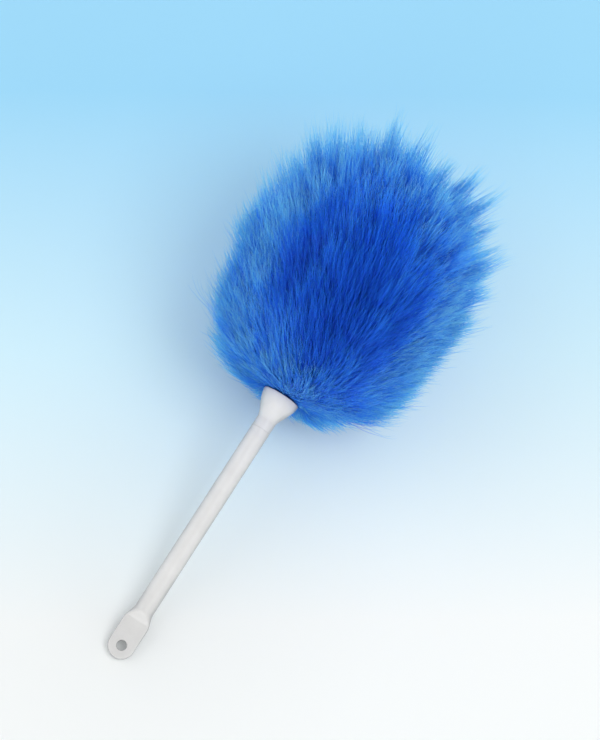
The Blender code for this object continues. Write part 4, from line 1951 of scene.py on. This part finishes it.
@dataclass
class PhotoView:
    """The photograph's camera: a long lens that looks down on the duster from its front side."""

    width: int = 600
    height: int = 740
    lens: float = 250.0
    sensor: float = 36.0
    far_clip: float = 50.0
    rise: float = math.radians(9.3)
    axis_turn: float = math.radians(57.2)
    hole_station: float = -0.17475
    hole_spot: tuple[float, float] = (121.5, 645.4)
    rim_spot: tuple[float, float] = (280.0, 396.0)

    def build(self, lie: Lie) -> bpy.types.Object:
        """Place the camera so that the hang hole and the rim fall on their spots.

        Args:
            lie: Where the duster lies.

        Returns:
            The camera.
        """
        turn = lie.matrix.to_3x3()
        axis, up = turn.col[0].normalized(), turn.col[2].normalized()
        toward = (math.cos(self.rise) * up - math.sin(self.rise) * axis).normalized()
        flat = (axis - axis.dot(toward) * toward).normalized()
        side = flat.cross(toward)
        across = math.cos(self.axis_turn) * flat + math.sin(self.axis_turn) * side
        above = math.sin(self.axis_turn) * flat - math.cos(self.axis_turn) * side

        focal = self.lens / self.sensor * self.height
        hole, rim = lie.point(self.hole_station), lie.point(0.0)
        low, high = (
            Vector((x - self.width / 2, self.height / 2 - y)) for x, y in (self.hole_spot, self.rim_spot)
        )
        step = high - low
        gap = rim - hole
        deeper = -gap.dot(toward)
        seen = Vector((gap.dot(across), gap.dot(above)))
        distance = (focal * step.dot(seen) - deeper * step.dot(high)) / step.dot(step)
        place = hole + distance * toward
        place -= distance / focal * (low.x * across + low.y * above)

        data = bpy.data.cameras.new("photo_view")
        data.lens = self.lens
        data.sensor_fit = "VERTICAL"
        data.sensor_height = self.sensor
        data.clip_end = self.far_clip
        camera = linked("photo_view", data)
        facing = Matrix((across, above, toward)).transposed().to_4x4()
        camera.matrix_world = Matrix.Translation(place) @ facing
        bpy.context.scene.camera = camera
        return camera


@dataclass(frozen=True)
class Lamp:
    """A square soft lamp that faces the collar's rim from a distance and a way."""

    name: str
    power: float
    size: float
    distance: float
    way: Triple

    def hang(self, aim: Vector, turn: Matrix) -> None:
        """Hang the lamp.

        Args:
            aim: The point it faces.
            turn: Rotation of the axes that its way is given in.
        """
        data = bpy.data.lights.new(self.name, "AREA")
        data.energy = self.power
        data.size = self.size
        lamp = linked(self.name, data)
        away = (turn @ Vector(self.way)).normalized()
        facing = away.to_track_quat("Z", "Y").to_matrix().to_4x4()
        lamp.matrix_world = Matrix.Translation(aim + self.distance * away) @ facing
        lamp.visible_camera = False


@dataclass
class Studio:
    """Pale floor and plain soft light.

    The ways of the lamps of the view are right, up and towards the viewer, and those of the low
    lamps are in the room's axes.
    """

    floor_rings: tuple[float, ...] = (0.0, 0.3, 0.8, 1.8, 3.5, 6.0)
    floor_segments: int = 96
    sky_colour: Colour = (0.98, 0.99, 1.0)
    sky: Span = (0.0, 0.40, 3.0, 0.57)
    view_lamps: tuple[Lamp, ...] = (
        Lamp("key_lamp", power=9.2, size=1.1, distance=1.9, way=(0.65, 0.10, 1.0)),
        Lamp("fill_lamp", power=6.0, size=1.6, distance=2.2, way=(-0.9, 0.6, 1.0)),
    )
    low_lamps: tuple[Lamp, ...] = (
        Lamp("crown_lamp", power=11.0, size=1.1, distance=1.9, way=(1.0, 0.0, 0.22)),
        Lamp("foot_lamp", power=6.5, size=1.1, distance=1.9, way=(-1.0, 0.0, 0.22)),
    )

    def floor(self, away: Vector) -> None:
        """Lay a wide round floor under the duster.

        Args:
            away: The way in which its colour fades.
        """
        disc = [(0.0, radius) for radius in self.floor_rings]
        corners, faces = turned(disc, self.floor_segments, False)
        laid = [(corner.y, corner.z, 0.0) for corner in corners]
        mesh = mesh_of("studio_floor", laid, faces, math.pi)
        along = Vector((away.x, away.y, 0)).normalized()
        up = Vector((0, 0, 1))
        fade = Lie(Matrix((along, up.cross(along), up)).transposed().to_4x4())
        mesh.materials.append(PaleFloor("pale_studio_floor").make(fade))
        floor = linked("studio_floor", mesh)

    def sky_light(self) -> None:
        """Light the world palely, brighter at its horizon, and show it as plain white."""
        world = bpy.data.worlds.new("soft_studio_sky")
        world.use_nodes = True
        sheet = NodeSheet(world.node_tree)
        glow = sheet.tree.nodes["Background"]
        glow.inputs["Color"].default_value = (*self.sky_colour, 1.0)
        way = sheet.add("ShaderNodeTexCoord").outputs["Generated"]
        sheet.join(sheet.span(sheet.axes(way)["Z"], self.sky), glow.inputs["Strength"])
        white = sheet.add("ShaderNodeBackground")
        white.inputs["Color"].default_value = (1.0, 1.0, 1.0, 1.0)
        sheet.blend(sheet.shown(), glow.outputs[0], white.outputs[0], "World Output")
        bpy.context.scene.world = world

    def build(self, lie: Lie, camera: bpy.types.Object) -> None:
        """Lay the floor and hang the lamps.

        Args:
            lie: Where the duster lies.
            camera: The view that the floor and the lamps are placed for.
        """
        turn = camera.matrix_world.to_3x3()
        self.floor(turn.col[1])
        self.sky_light()
        for lamps, axes in ((self.view_lamps, turn), (self.low_lamps, Matrix.Identity(3))):
            for lamp in lamps:
                lamp.hang(lie.point(0.0), axes)
        bpy.context.scene.view_settings.view_transform = "Standard"


def main() -> None:
    """Build the duster's pieces, its light and its view."""
    logging.basicConfig(level=logging.INFO, format="%(name)s: %(message)s")
    lie = Lie.from_frame()
    Handle().build(lie, MouldedPlastic("white_handle_plastic").make(lie))
    Collar().build(lie, MouldedPlastic("white_collar_plastic", parted=False).make(lie))
    under = Underfur()
    under.build(lie, MattedWool("matted_blue_wool").make(lie))
    WoolPile().build(lie, under, DyedWool("dyed_blue_wool").make(lie))
    InnerParts().dress(lie)
    camera = PhotoView().build(lie)
    Studio().build(lie, camera)


if __name__ == "__main__":
    main()
